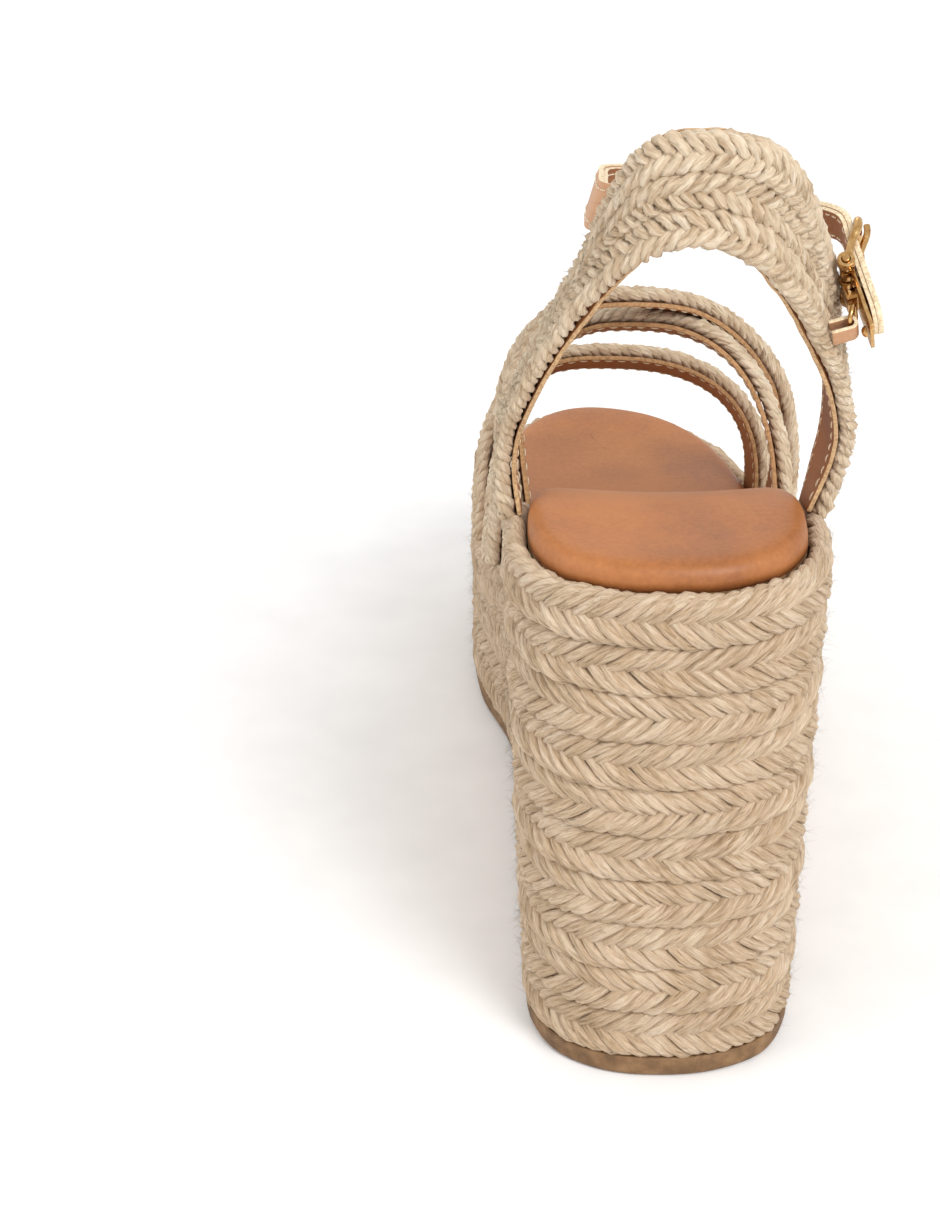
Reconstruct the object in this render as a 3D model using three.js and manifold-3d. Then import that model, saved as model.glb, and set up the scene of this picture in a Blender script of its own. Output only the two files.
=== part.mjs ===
// A platform wedge sandal for the right foot: jute-braid wrapped wedge, leather footbed, braided upper
// and a narrow leather ankle strap with a hook-and-prong buckle. Millimetres, +Z up, +Y to the toe,
// +X to the outer side of the foot. The origin is on the tread, near its middle.
import * as THREE from "three";
import Module from "manifold-3d";

const wasm = await Module();
wasm.setup();

const V = (x, y, z) => new THREE.Vector3(x, y, z);
const lerp = THREE.MathUtils.lerp;

// ---- driving dimensions ----
const ORIGIN_Y = 118; // the origin is this far in front of the back of the heel
const SEAT_HEIGHT = 121; // top of the footbed at the heel
const SEAT_DROP = 72.5; // from the heel seat to the forefoot
const SEAT_END_Y = 30; // the footbed is level behind this line
const FOREFOOT_Y = 165; // and level again in front of this one
const UPPER_SEAT = 121; // the heights listed for the upper belong to a heel seat this high
const TOE_SPRING = 2.5; // rise of the footbed at the toe tip
const TOE_SPRING_Y = 185;
const TOE_Y = 243.5; // the toe tip
const GAP = 0.3; // clearance between pieces that touch
const SOLE_THICK = 4.6; // rubber outsole
const SOLE_INSET = 0.7; // outsole edge inside the face of the wrap
const WRAP_THICK = 5; // thickness of the braided wrap
const RIM_DROP = 5; // the footbed stands this much above the rim braid
const ROWS = 9; // braid rows under the rim braid
const RIM_HEIGHT = 10.8;
const ROW_LEAST = 4; // a row ends where the rim leaves less height than this
const BOARD_THICK = 2;
const LEATHER_THICK = 1.5;
const FOAM_THICK = 3.4;
const UPPER_LINING = 1.1;
const BRAID_THICK = 3;
const STRAP_WIDTH = 12.5; // vamp straps
const ANKLE_STRAP_WIDTH = 10;
const ANKLE_STRAP_THICK = 1.1; // outer leather
const ANKLE_BACKING_THICK = 0.6; // lining leather
const WIRE = 0.9; // radius of the buckle frame wire
const BAR_RADIUS = 0.8;
const BAR_PLAY = 0.2; // running clearance of an eye on the heel bar

// A point of the upper, which rises and falls with the heel seat.
const raised = (x, y, z) => V(x, y, z + SEAT_HEIGHT - UPPER_SEAT);

// Plan of the wrap's outer face at the top, from the back of the heel round the outer side to the toe
// and back along the inner side.
const TOP_PLAN = [
  [1, 0], [15.2, 1.9], [27.4, 9.3], [34.2, 20.8], [35.5, 34], [34.5, 52], [33.7, 76], [35.5, 102], [39, 130],
  [41, 157], [40, 183], [35, 207], [26, 226], [13, 238], [-6, TOE_Y], [-19, 240.5], [-29, 231],
  [-36, 214], [-39.5, 190], [-40.5, 163], [-39, 137], [-34.5, 108], [-31.5, 80], [-31.7, 55],
  [-33.4, 34], [-32.2, 21], [-26, 9.3], [-13.8, 1.9],
];
// The same plan at the floor, where the heel is narrower.
const FLOOR_PLAN = [
  [1.9, 0.4], [13.6, 2.2], [24.4, 8.6], [29.7, 19.3], [31.3, 32], [31, 51], [31.4, 76], [33.8, 102],
  [38, 130], [40.2, 157], [39.2, 183], [34.2, 207], [25.2, 225.6], [12.4, 237.2], [-6, 242.4],
  [-18.6, 239.5], [-28.3, 230.3], [-35.2, 213.5], [-38.5, 190], [-37, 163], [-29.6, 137],
  [-27.2, 108], [-26.4, 80], [-26.6, 55], [-27.4, 34], [-26.5, 20.2], [-21.2, 9], [-11, 2.2],
];
const PLAN_STEPS = 56;

// Outer face of the ankle band, inner side of the foot to outer side: its lower (rear) edge ...
const BAND_REAR = [
  [-33.2, 38, 115.8], [-34.4, 40, 124], [-34, 38.5, 133], [-30.8, 31.6, 146], [-24.2, 23.3, 162.4],
  [-15.4, 14.9, 176.7], [-5.7, 8, 186], [3.8, 5.4, 188.8], [13.4, 8, 185], [23.6, 15.4, 174],
  [30.8, 23.8, 161], [37, 31.5, 147], [39.4, 37, 134], [38, 39.5, 124], [34.8, 38.5, 115.8],
];
// ... and its upper (front) edge.
const BAND_FRONT = [
  [-33, 54, 110.6], [-34.2, 53, 124], [-33, 49, 136], [-29.8, 44, 148], [-25, 37.5, 162],
  [-19.2, 29.8, 177], [-14.6, 20.5, 192.5], [-10.1, 12, 204.6], [-5.4, 7.2, 210], [3.7, 5.6, 211.8],
  [11.8, 7.4, 210.6], [18, 10.2, 207.4], [23, 14.9, 201.8], [26.6, 21.4, 194.4], [30.3, 29.8, 184],
  [33, 37.2, 175], [35.4, 43.5, 162], [37.4, 48.5, 147], [38, 52.5, 133], [36.8, 54.5, 122],
  [34.8, 54.5, 110.4],
];

// Vamp straps: where the middle of each meets the footbed edge, on the inner and on the outer side,
// and whether it runs over the others.
const VAMP = [
  { inner: 150, outer: 108, over: 0 },
  { inner: 80, outer: 158, over: 1 },
  { inner: 105, outer: 175, over: 1 },
  { inner: 172, outer: 192, over: 0 },
];
const VAMP_RIDGE = [
  [70, 141], [100, 131], [120, 124], [140, 113.5], [165, 98], [185, 84.5], [200, 74.5], [215, 65.5],
];
const VAMP_RIDGE_X = -5;
const ROOT_GAP = 1.1; // straps end this much above the rim braid
const VAMP_SQUARE = 2.7; // exponent of the arch: 2 is an ellipse, more is squarer

// Ankle strap: the fold where it leaves the band, and the heel bar of the buckle at its other end.
const FOLD = raised(-14.6, 32, 187.2);
const HEEL_BAR = raised(38.8, 37, 170.6);
const BUCKLE_BACK = V(0.22, -0.82, -0.52).normalize(); // along the strap towards its free end
const BUCKLE_OUT = V(0.96, 0.12, 0.25); // away from the foot, before it is squared to BUCKLE_BACK
const TIP_LENGTH = 12.6; // strap beyond the heel bar
const FRONT_BAR_X = -9.6;
const FRAME_PLAY = 1.6; // from the strap's edge to the middle of the frame's wire
const FRAME_HALF = ANKLE_STRAP_WIDTH / 2 + FRAME_PLAY;

// ---- colours ----
const finish = (name, color, roughness, metalness = 0) =>
  new THREE.MeshStandardMaterial({ name, color, roughness, metalness });
const JUTE = finish("jute_braid", 0xceb495, 0.95);
const FINE_JUTE = finish("fine_jute_braid", 0xd9bfa1, 0.95);
const RUBBER = finish("brown_rubber", 0x7a5b3b, 0.8);
const CORE = finish("cork_core", 0xb58a5c, 0.9);
const BOARD = finish("fibre_board", 0x9c7b58, 0.9);
const FOAM = finish("latex_foam", 0xe6dcc3, 0.9);
const LEATHER = finish("tan_leather", 0xc28a64, 0.55);
const LINING = finish("lining_leather", 0xa9744f, 0.6);
const GOLD = finish("pale_gold_metal", 0xd9b483, 0.25, 1);

const root = new THREE.Group();
root.name = "wedge_sandal";
const shoe = new THREE.Group();
shoe.position.y = -ORIGIN_Y;
root.add(shoe);

function addMesh(parent, name, geometry, material) {
  const mesh = new THREE.Mesh(geometry, material);
  mesh.name = name;
  parent.add(mesh);
  return mesh;
}

// ---- solids ----
function signedVolume(points, faces) {
  let sum = 0;
  for (const [a, b, c] of faces) sum += points[a].dot(points[b].clone().cross(points[c]));
  return sum / 6;
}

function geometryOf(points, faces) {
  const geometry = new THREE.BufferGeometry().setFromPoints(points);
  const outward = signedVolume(points, faces) > 0;
  geometry.setIndex(faces.flatMap(([a, b, c]) => (outward ? [a, b, c] : [a, c, b])));
  geometry.computeVertexNormals();
  return geometry;
}

// A closed solid from rings of equal length. Open ends are capped; capOf lists a ring's cap faces.
function solidFromRings(rings, capOf, closed = false) {
  const n = rings[0].length;
  const faces = [];
  const last = closed ? rings.length : rings.length - 1;
  for (let r = 0; r < last; r++) {
    const next = (r + 1) % rings.length;
    for (let i = 0; i < n; i++) {
      const j = (i + 1) % n;
      const [a, b, c, d] = [r * n + i, r * n + j, next * n + j, next * n + i];
      faces.push([a, b, c], [a, c, d]);
    }
  }
  if (!closed) {
    const top = (rings.length - 1) * n;
    for (const [a, b, c] of capOf(n)) faces.push([a, c, b], [top + a, top + b, top + c]);
  }
  return geometryOf(rings.flat(), faces);
}

// Cap of a ring that is symmetric about its first point: strips from side to side.
function stripCap(n) {
  const faces = [[n - 1, 0, 1], [n / 2 + 1, n / 2 - 1, n / 2]];
  for (let i = 1; i < n / 2 - 1; i++) faces.push([n - i, i, i + 1], [n - i, i + 1, n - i - 1]);
  return faces;
}

function fanCap(n) {
  const faces = [];
  for (let i = 1; i < n - 1; i++) faces.push([0, i, i + 1]);
  return faces;
}

function manifoldOf(geometry) {
  const plain = geometry.index ? geometry.toNonIndexed() : geometry;
  const position = plain.getAttribute("position");
  const keys = new Map();
  const vertices = [];
  const triangles = [];
  for (let i = 0; i < position.count; i++) {
    const point = [position.getX(i), position.getY(i), position.getZ(i)];
    const key = point.map((v) => Math.round(v * 1e4)).join();
    if (!keys.has(key)) {
      keys.set(key, vertices.length / 3);
      vertices.push(...point);
    }
    triangles.push(keys.get(key));
  }
  const kept = [];
  for (let i = 0; i < triangles.length; i += 3) {
    const [a, b, c] = triangles.slice(i, i + 3);
    if (a !== b && b !== c && a !== c) kept.push(a, b, c);
  }
  return new wasm.Manifold(
    new wasm.Mesh({
      numProp: 3,
      vertProperties: new Float32Array(vertices),
      triVerts: new Uint32Array(kept),
    }),
  );
}

function geometryFrom(solid) {
  const mesh = solid.getMesh();
  const geometry = new THREE.BufferGeometry();
  geometry.setAttribute("position", new THREE.BufferAttribute(mesh.vertProperties.slice(), 3));
  geometry.setIndex(new THREE.BufferAttribute(mesh.triVerts.slice(), 1));
  return geometry;
}

const union = (...parts) =>
  geometryFrom(parts.map(manifoldOf).reduce((all, next) => all.add(next)));
const cut = (body, ...tools) =>
  geometryFrom(tools.map(manifoldOf).reduce((left, tool) => left.subtract(tool), manifoldOf(body)));

// ---- the wedge ----
const planCurve = (points) =>
  new THREE.CatmullRomCurve3(points.map(([x, y]) => V(x, y, 0)), true, "centripetal");
const topCurve = planCurve(TOP_PLAN);
const floorCurve = planCurve(FLOOR_PLAN);

function footTop(y) {
  const rise = Math.max(0, (y - TOE_SPRING_Y) / (TOE_Y - TOE_SPRING_Y));
  const drop = SEAT_DROP * THREE.MathUtils.smoothstep(y, SEAT_END_Y, FOREFOOT_Y);
  return SEAT_HEIGHT - drop + TOE_SPRING * rise * rise;
}
const rimTop = (y) => footTop(y) - RIM_DROP;

// A point of the wedge's plan at parameter t and height z, moved inwards by inset.
function planPoint(t, z, inset) {
  const share = z / SEAT_HEIGHT;
  const at = (u) => floorCurve.getPoint((u + 1) % 1).lerp(topCurve.getPoint((u + 1) % 1), share);
  const point = at(t);
  const along = at(t + 0.002).sub(at(t - 0.002)).normalize();
  return V(point.x - along.y * inset, point.y + along.x * inset, z);
}

// The ring of the plan at an inset, at the height that heightAt gives for each point's own y.
function planRing(inset, heightAt) {
  return Array.from({ length: PLAN_STEPS }, (_, i) => {
    const t = i / PLAN_STEPS;
    const y = planPoint(t, SEAT_HEIGHT / 2, inset).y;
    return planPoint(t, heightAt(y), inset);
  });
}

const slab = (rings) => solidFromRings(rings, stripCap);
const CORE_INSET = WRAP_THICK + GAP;
const CORE_PLAY = 0.2; // the core is this much smaller than the board on it

function outsole() {
  return slab([
    planRing(SOLE_INSET + 0.8, () => 0),
    planRing(SOLE_INSET, () => 1),
    planRing(SOLE_INSET, () => SOLE_THICK),
  ]);
}

const leatherUnder = (y) => footTop(y) - LEATHER_THICK;
const foamUnder = (y) => leatherUnder(y) - GAP - FOAM_THICK;
const boardTop = (y) => foamUnder(y) - GAP;
const coreTop = (y) => boardTop(y) - BOARD_THICK - GAP;

function wedgeCore() {
  const levels = [0, 0.15, 0.3, 0.45, 0.6, 0.8, 1];
  const heightAt = (share) => (y) => lerp(SOLE_THICK + GAP, coreTop(y), share);
  return slab(levels.map((share) => planRing(CORE_INSET + CORE_PLAY, heightAt(share))));
}

function insoleBoard() {
  return slab([
    planRing(CORE_INSET, (y) => boardTop(y) - BOARD_THICK),
    planRing(CORE_INSET, boardTop),
  ]);
}

function footbedFoam() {
  const inset = CORE_INSET + LEATHER_THICK + GAP;
  return slab([planRing(inset, foamUnder), planRing(inset, (y) => leatherUnder(y) - GAP)]);
}

// Leather sock: the top face, rounded over at the edge and turned down round the foam.
function footbedLeather() {
  const inner = CORE_INSET + LEATHER_THICK;
  return slab([
    planRing(inner, leatherUnder),
    planRing(inner, foamUnder),
    planRing(CORE_INSET, foamUnder),
    planRing(CORE_INSET, (y) => footTop(y) - 2.2),
    planRing(CORE_INSET + 0.7, (y) => footTop(y) - 0.7),
    planRing(CORE_INSET + 2.2, footTop),
  ]);
}

// Section of a braid row: distances out from the core and shares of its height.
const ROW_SECTION = [
  [0, 0], [0.72, 0], [1, 0.27], [1, 0.73], [0.72, 1], [0, 1],
];

function rowRing(t, low, high) {
  return ROW_SECTION.map(([out, up]) =>
    planPoint(t, lerp(low, high, up), WRAP_THICK * (1 - out)),
  );
}

const FULL_ROW = (SEAT_HEIGHT - RIM_DROP - SOLE_THICK - RIM_HEIGHT) / ROWS;
const rimUnder = (y) => rimTop(y) - RIM_HEIGHT;

function braidRow(index) {
  const low = SOLE_THICK + GAP + FULL_ROW * (index - 1);
  const high = low + FULL_ROW - GAP;
  const topAt = (t) => Math.min(high, rimUnder(planPoint(t, low, 0).y) - GAP);
  const end = (side) => {
    for (let i = 1; i < 500; i++)
      if (topAt((1 + (side * i) / 1000) % 1) - low < ROW_LEAST) return (side * i) / 1000;
    return null;
  };
  const [from, to] = [end(-1), end(1)];
  if (to === null) {
    const rings = Array.from({ length: PLAN_STEPS }, (_, i) => i / PLAN_STEPS);
    return solidFromRings(rings.map((t) => rowRing(t, low, topAt(t))), null, true);
  }
  const steps = Math.ceil((to - from) * PLAN_STEPS);
  const rings = Array.from({ length: steps + 1 }, (_, i) => {
    const t = (1 + lerp(from, to, i / steps)) % 1;
    return rowRing(t, low, topAt(t));
  });
  return solidFromRings(rings, fanCap);
}

function rimBraid() {
  const rings = Array.from({ length: PLAN_STEPS }, (_, i) => {
    const t = i / PLAN_STEPS;
    const y = planPoint(t, SEAT_HEIGHT / 2, 0).y;
    return rowRing(t, rimUnder(y), rimTop(y));
  });
  return solidFromRings(rings, null, true);
}

// ---- straps ----
const edgeCurve = (points) =>
  new THREE.CatmullRomCurve3(points.map((p) => raised(...p)), false, "centripetal");

// A strap between two edge curves. sectionAt(u) lists [share across, height above the face].
function ribbon(edgeA, edgeB, sectionAt, steps) {
  const rings = [];
  for (let i = 0; i <= steps; i++) {
    const u = i / steps;
    const [a, b] = [edgeA(u), edgeB(u)];
    const ahead = edgeA(Math.min(1, u + 0.01)).add(edgeB(Math.min(1, u + 0.01)));
    const behind = edgeA(Math.max(0, u - 0.01)).add(edgeB(Math.max(0, u - 0.01)));
    const out = ahead.sub(behind).cross(b.clone().sub(a)).normalize();
    rings.push(
      sectionAt(u).map(([across, up]) => a.clone().lerp(b, across).addScaledVector(out, up)),
    );
  }
  return solidFromRings(rings, fanCap);
}

const flatSection = (low, high, from = 0, to = 1) => [
  [from, low], [to, low], [to, high], [from, high],
];
const roundSection = (low, high, from, to) => {
  const at = (share) => lerp(from, to, share);
  return [
    [from, low], [to, low], [at(0.9), lerp(low, high, 0.75)], [at(0.5), high],
    [at(0.1), lerp(low, high, 0.75)],
  ];
};

const bandRear = edgeCurve(BAND_REAR);
const bandFront = edgeCurve(BAND_FRONT);
const BAND_STEPS = 40;
const TWIST_GAP = 0.6; // between layers that twist along their length
const EDGE_SHARE = 0.44; // the outer braids take this share each where the legs are narrow

// Share across the band where the lower braid ends; the middle braid fills what the outer two leave.
const bandSplit = (u) => EDGE_SHARE - 0.09 * Math.sin(Math.PI * u) ** 2;

function bandPiece(sectionAt) {
  const [rear, front] = [(u) => bandRear.getPointAt(u), (u) => bandFront.getPointAt(u)];
  return ribbon(rear, front, sectionAt, BAND_STEPS);
}

function addBand(parent) {
  const share = 0.012;
  const braid = (from, to) => (u) => roundSection(-BRAID_THICK, 0, from(u), to(u));
  const [low, high] = [(u) => bandSplit(u) - share, (u) => 1 - bandSplit(u) + share];
  const mid = (u) => [bandSplit(u) + share, 1 - bandSplit(u) - share];
  addMesh(parent, "ankle_braid_lower", bandPiece(braid(() => 0, low)), FINE_JUTE);
  addMesh(
    parent,
    "ankle_braid_middle",
    bandPiece(braid((u) => mid(u)[0], (u) => mid(u)[1])),
    FINE_JUTE,
  );
  addMesh(parent, "ankle_braid_upper", bandPiece(braid(high, () => 1)), FINE_JUTE);
  const back = -BRAID_THICK - TWIST_GAP;
  const lining = bandPiece(() => flatSection(back - UPPER_LINING, back, 0.03, 0.97));
  addMesh(parent, "ankle_lining", lining, LINING);
}

// The x of the core's plan on one side of the foot (+1 outer, -1 inner) at a given y.
function edgeX(y, side) {
  const z = footTop(y);
  let [low, high] = side > 0 ? [0.02, 0.5] : [0.5, 0.98];
  for (let i = 0; i < 30; i++) {
    const t = (low + high) / 2;
    if (planPoint(t, z, CORE_INSET).y < y === side > 0) low = t;
    else high = t;
  }
  return planPoint(low, z, CORE_INSET).x;
}

function ridgeZ(y) {
  const i = Math.max(0, VAMP_RIDGE.findLastIndex(([at]) => at <= y));
  const [[y0, z0], [y1, z1]] = VAMP_RIDGE.slice(Math.min(i, VAMP_RIDGE.length - 2)).slice(0, 2);
  return lerp(z0, z1, (y - y0) / (y1 - y0)) + SEAT_HEIGHT - UPPER_SEAT;
}

// A point of the vamp arch over the foot: v runs from the inner edge to the outer edge.
function archPoint(v, y, lift) {
  const angle = Math.PI * (1 - v);
  const [c, s] = [Math.cos(angle), Math.sin(angle)];
  const power = 2 / VAMP_SQUARE;
  const rise = lift * Math.min(1, 1.6 * s);
  const side = c > 0 ? 1 : -1;
  const reach = Math.abs(edgeX(y, side) - VAMP_RIDGE_X) + 0.7 + rise;
  const base = rimTop(y) + ROOT_GAP;
  const x = VAMP_RIDGE_X + side * reach * Math.abs(c) ** power;
  return V(x, y, base + (ridgeZ(y) - base + rise) * s ** power);
}

function addVampStrap(parent, { inner, outer, over }, index) {
  const lift = over * (UPPER_LINING + GAP + BRAID_THICK + 0.7);
  const middle = (v) => lerp(inner, outer, v);
  const edge = (offset) => (v) => archPoint(v, middle(v) + offset, lift);
  const [rear, front] = [edge(-STRAP_WIDTH / 2), edge(STRAP_WIDTH / 2)];
  const face = UPPER_LINING + GAP;
  const braid = () => roundSection(face, face + BRAID_THICK, 0, 1);
  const lining = () => flatSection(0, UPPER_LINING, 0.03, 0.97);
  addMesh(parent, `vamp_strap_${index}`, ribbon(rear, front, braid, 20), FINE_JUTE);
  addMesh(parent, `vamp_lining_${index}`, ribbon(rear, front, lining, 20), LINING);
}

// ---- ankle strap and buckle ----
const frameX = BUCKLE_BACK.clone();
const frameY = BUCKLE_OUT.clone().cross(frameX).normalize();
const frameZ = frameX.clone().cross(frameY);
const buckleBasis = new THREE.Matrix4().makeBasis(frameX, frameY, frameZ).setPosition(HEEL_BAR);
const frameUp = frameY.clone().negate();
const atBuckle = (x, y, z) => V(x, y, z).applyMatrix4(buckleBasis);

// Middle line of the strap from the fold, round the front of the ankle, to its tip at the buckle.
const strapLine = new THREE.CatmullRomCurve3(
  [
    FOLD, raised(-16, 41, 185.8), raised(-15.5, 54, 182.5), raised(-8, 70, 177), raised(7, 77.5, 173),
    raised(22, 71.5, 172), raised(30, 60, 174.5), atBuckle(-12, 0, 0), atBuckle(-6, 0, 0),
    atBuckle(2, 0, 0), atBuckle(TIP_LENGTH, 0, 0),
  ],
  false,
  "centripetal",
);
const FOLD_UP = V(0.27, 0.05, 0.96).normalize();

// The strap's width direction turns from the fold's to the buckle's.
function strapUp(u) {
  return FOLD_UP.clone().lerp(frameUp, THREE.MathUtils.smoothstep(u, 0.3, 0.8)).normalize();
}
const strapSide = (half) => (u) =>
  strapLine.getPointAt(u).addScaledVector(strapUp(u), half * ANKLE_STRAP_WIDTH);

// Slot for the prong, from just behind the heel bar towards the front bar.
function prongSlot() {
  return new THREE.BoxGeometry(9.6, 2.2, 6).translate(-1.8, 0, 0).applyMatrix4(buckleBasis);
}

function strapLayer(low, high) {
  const layer = ribbon(strapSide(0.5), strapSide(-0.5), () => flatSection(low, high), 44);
  return cut(layer, prongSlot());
}

const FOLD_GAP = 1.5; // the strap turns in this space between its end and the anchor tab
function anchorTab() {
  const stop = FOLD.clone().add(V(0.6, -FOLD_GAP, 0.1));
  const points = [raised(-4.3, 19.5, 189.4), raised(-8.3, 24.5, 189), raised(-11, 28.2, 188.4), stop];
  const line = new THREE.CatmullRomCurve3(points, false, "centripetal");
  const side = (half) => (u) => line.getPoint(u).addScaledVector(FOLD_UP, half * ANKLE_STRAP_WIDTH);
  return ribbon(side(-0.5), side(0.5), () => flatSection(-0.8, 0.8), 6);
}

const rod = (radius, length, segments = 12) =>
  new THREE.CylinderGeometry(radius, radius, length, segments);

// A round wire along points, in the buckle's own frame.
function wire(points, radius, steps) {
  const shape = new THREE.Shape().absarc(0, 0, radius, 0, 2 * Math.PI);
  const path = new THREE.CatmullRomCurve3(points, false, "centripetal");
  return new THREE.ExtrudeGeometry(shape, { steps, extrudePath: path, curveSegments: 5 });
}

const EYE_BORE = BAR_RADIUS + BAR_PLAY;
const EYE_WALL = 0.5;
const STRAP_TOP = ANKLE_STRAP_THICK / 2;
const BACKING_TOP = -STRAP_TOP - GAP;
const STRAP_UNDER = BACKING_TOP - ANKLE_BACKING_THICK;
const BAR_Z = STRAP_UNDER - GAP - EYE_BORE - EYE_WALL; // the heel bar passes under the strap
const FRONT_BAR_Z = STRAP_TOP + GAP + WIRE;

function buckleFrame() {
  const corner = 2.4;
  const half = (side) => [
    V(0, side * FRAME_HALF, BAR_Z),
    V(FRONT_BAR_X * 0.5, side * FRAME_HALF, lerp(BAR_Z, FRONT_BAR_Z, 0.55)),
    V(FRONT_BAR_X + corner, side * FRAME_HALF, FRONT_BAR_Z - 0.5),
    V(FRONT_BAR_X + 0.6, side * (FRAME_HALF - 0.6), FRONT_BAR_Z),
    V(FRONT_BAR_X, side * (FRAME_HALF - corner), FRONT_BAR_Z),
  ];
  const loop = wire([...half(1), ...half(-1).reverse()], WIRE, 36);
  const eyes = [-1, 1].map((side) => rod(EYE_BORE + 0.8, 2.1, 14).translate(0, side * FRAME_HALF, BAR_Z));
  return cut(union(loop, ...eyes), rod(EYE_BORE, 30, 14).translate(0, 0, BAR_Z));
}

function prongPiece() {
  const rest = V(FRONT_BAR_X, 0, FRONT_BAR_Z + WIRE + 0.75 + 0.25);
  const tip = V(FRONT_BAR_X - 1.6, 0, rest.z + 0.3);
  const bar = wire([V(-1.2, 0, BAR_Z + 1), V(-6, 0, 1.4), rest, tip], 0.72, 10);
  const eye = rod(EYE_BORE + 0.75, 1.7, 14).translate(0, 0, BAR_Z);
  return cut(union(bar, eye), rod(EYE_BORE, 10, 14).translate(0, 0, BAR_Z));
}

const PLATE_THICK = 0.8;
const PLATE_TOP = STRAP_UNDER - GAP - 0.1;
const HOOK_X = 6;
const RIVET_X = 12.8;

// The plate on the heel bar's two lugs, and the hook bent from it towards the foot.
function hookPlate() {
  const box = (x0, x1, y0, y1, z0, z1) =>
    new THREE.BoxGeometry(x1 - x0, y1 - y0, z1 - z0).translate(
      (x0 + x1) / 2, (y0 + y1) / 2, (z0 + z1) / 2,
    );
  const low = PLATE_TOP - PLATE_THICK;
  const plate = box(2.4, 14.2, -4.3, 4.3, low, PLATE_TOP);
  const arms = [-1, 1].map((s) =>
    box(0, 3, Math.min(s * 1.4, s * 4.2), Math.max(s * 1.4, s * 4.2), low - 0.3, PLATE_TOP),
  );
  const lugs = [-1, 1].map((s) => rod(EYE_BORE + EYE_WALL, 2.8, 14).translate(0, s * 2.8, BAR_Z));
  const stem = box(HOOK_X - 0.9, HOOK_X, -2.4, 2.4, low - 1.9, low + 0.2);
  const finger = box(HOOK_X - 3.6, HOOK_X, -2.4, 2.4, low - 2.3, low - 1.6);
  const bore = rod(EYE_BORE, 30, 14).translate(0, 0, BAR_Z);
  return cut(union(plate, ...arms, ...lugs, stem, finger), bore);
}

function plateRivet() {
  const profile = [[0, 0], [1.2, 0], [1.1, 0.6], [0.6, 1], [0, 1.1]];
  const points = profile.map(([r, z]) => new THREE.Vector2(r, z));
  const rivet = new THREE.LatheGeometry(points, 14).rotateX(-Math.PI / 2);
  return rivet.translate(RIVET_X, 0, PLATE_TOP - PLATE_THICK - GAP);
}

const RING_WIRE = 0.5;
const RING_X = HOOK_X + RING_WIRE + 1.1; // the ring's free bar lies just behind the hook
const RING_Z = PLATE_TOP - PLATE_THICK - RING_WIRE - 0.7;
const TAB_X = RING_X + 3.4;
const TAB_Z = RING_Z - 2;
const TAB_RADIUS = RING_WIRE + GAP + 0.8;

function hookRing() {
  const half = 3.6;
  const points = [
    V(TAB_X, 0, TAB_Z), V(TAB_X, half - 1, TAB_Z), V(TAB_X - 1, half, TAB_Z + 0.6),
    V(RING_X + 1, half, RING_Z - 0.6), V(RING_X, half - 1, RING_Z), V(RING_X, 0, RING_Z),
  ];
  const mirrored = points.slice(1, -1).reverse().map((p) => V(p.x, -p.y, p.z));
  const path = new THREE.CatmullRomCurve3([...points, ...mirrored], true, "centripetal");
  const face = V(TAB_Z - RING_Z, 0, RING_X - TAB_X).normalize(); // square to the ring's plane
  const rings = Array.from({ length: 28 }, (_, i) => {
    const [centre, along] = [path.getPoint(i / 28), path.getTangent(i / 28)];
    const side = along.cross(face).normalize();
    return Array.from({ length: 8 }, (_, k) => {
      const angle = (k * Math.PI) / 4;
      const out = side.clone().multiplyScalar(Math.cos(angle)).addScaledVector(face, Math.sin(angle));
      return centre.clone().addScaledVector(out, RING_WIRE);
    });
  });
  return solidFromRings(rings, null, true);
}

// Leather loop that holds the ring's fixed bar, with a foot that follows the face of the band.
function ringTab() {
  const width = 4.4;
  const reach = 5;
  const body = new THREE.BoxGeometry(2 * TAB_RADIUS, width, TAB_RADIUS + reach)
    .translate(TAB_X, 0, TAB_Z + (TAB_RADIUS - reach) / 2);
  const foot = new THREE.BoxGeometry(3 * TAB_RADIUS, width, reach - TAB_RADIUS)
    .translate(TAB_X - TAB_RADIUS / 2, 0, TAB_Z - (reach + TAB_RADIUS) / 2);
  const bore = rod(RING_WIRE + GAP, 30, 14).translate(TAB_X, 0, TAB_Z);
  const block = cut(union(body, foot), bore).applyMatrix4(buckleBasis);
  return cut(block, bandPiece(() => flatSection(-12, GAP + 0.1)));
}

// ---- assembly ----
const sole = new THREE.Group();
sole.name = "sole_unit";
shoe.add(sole);
addMesh(sole, "outsole", outsole(), RUBBER);
addMesh(sole, "wedge_core", wedgeCore(), CORE);
addMesh(sole, "insole_board", insoleBoard(), BOARD);
addMesh(sole, "footbed_foam", footbedFoam(), FOAM);
addMesh(sole, "footbed_leather", footbedLeather(), LEATHER);
for (let row = 1; row <= ROWS; row++) addMesh(sole, `braid_row_${row}`, braidRow(row), JUTE);
addMesh(sole, "rim_braid", rimBraid(), JUTE);

const upper = new THREE.Group();
upper.name = "upper";
shoe.add(upper);
addBand(upper);
VAMP.forEach((strap, i) => addVampStrap(upper, strap, i + 1));
addMesh(upper, "strap_anchor_tab", anchorTab(), LEATHER);

const ankle = new THREE.Group();
ankle.name = "ankle_strap";
shoe.add(ankle);
addMesh(ankle, "strap_leather", strapLayer(-STRAP_TOP, STRAP_TOP), LEATHER);
addMesh(ankle, "strap_backing", strapLayer(STRAP_UNDER, BACKING_TOP), LINING);

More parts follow.
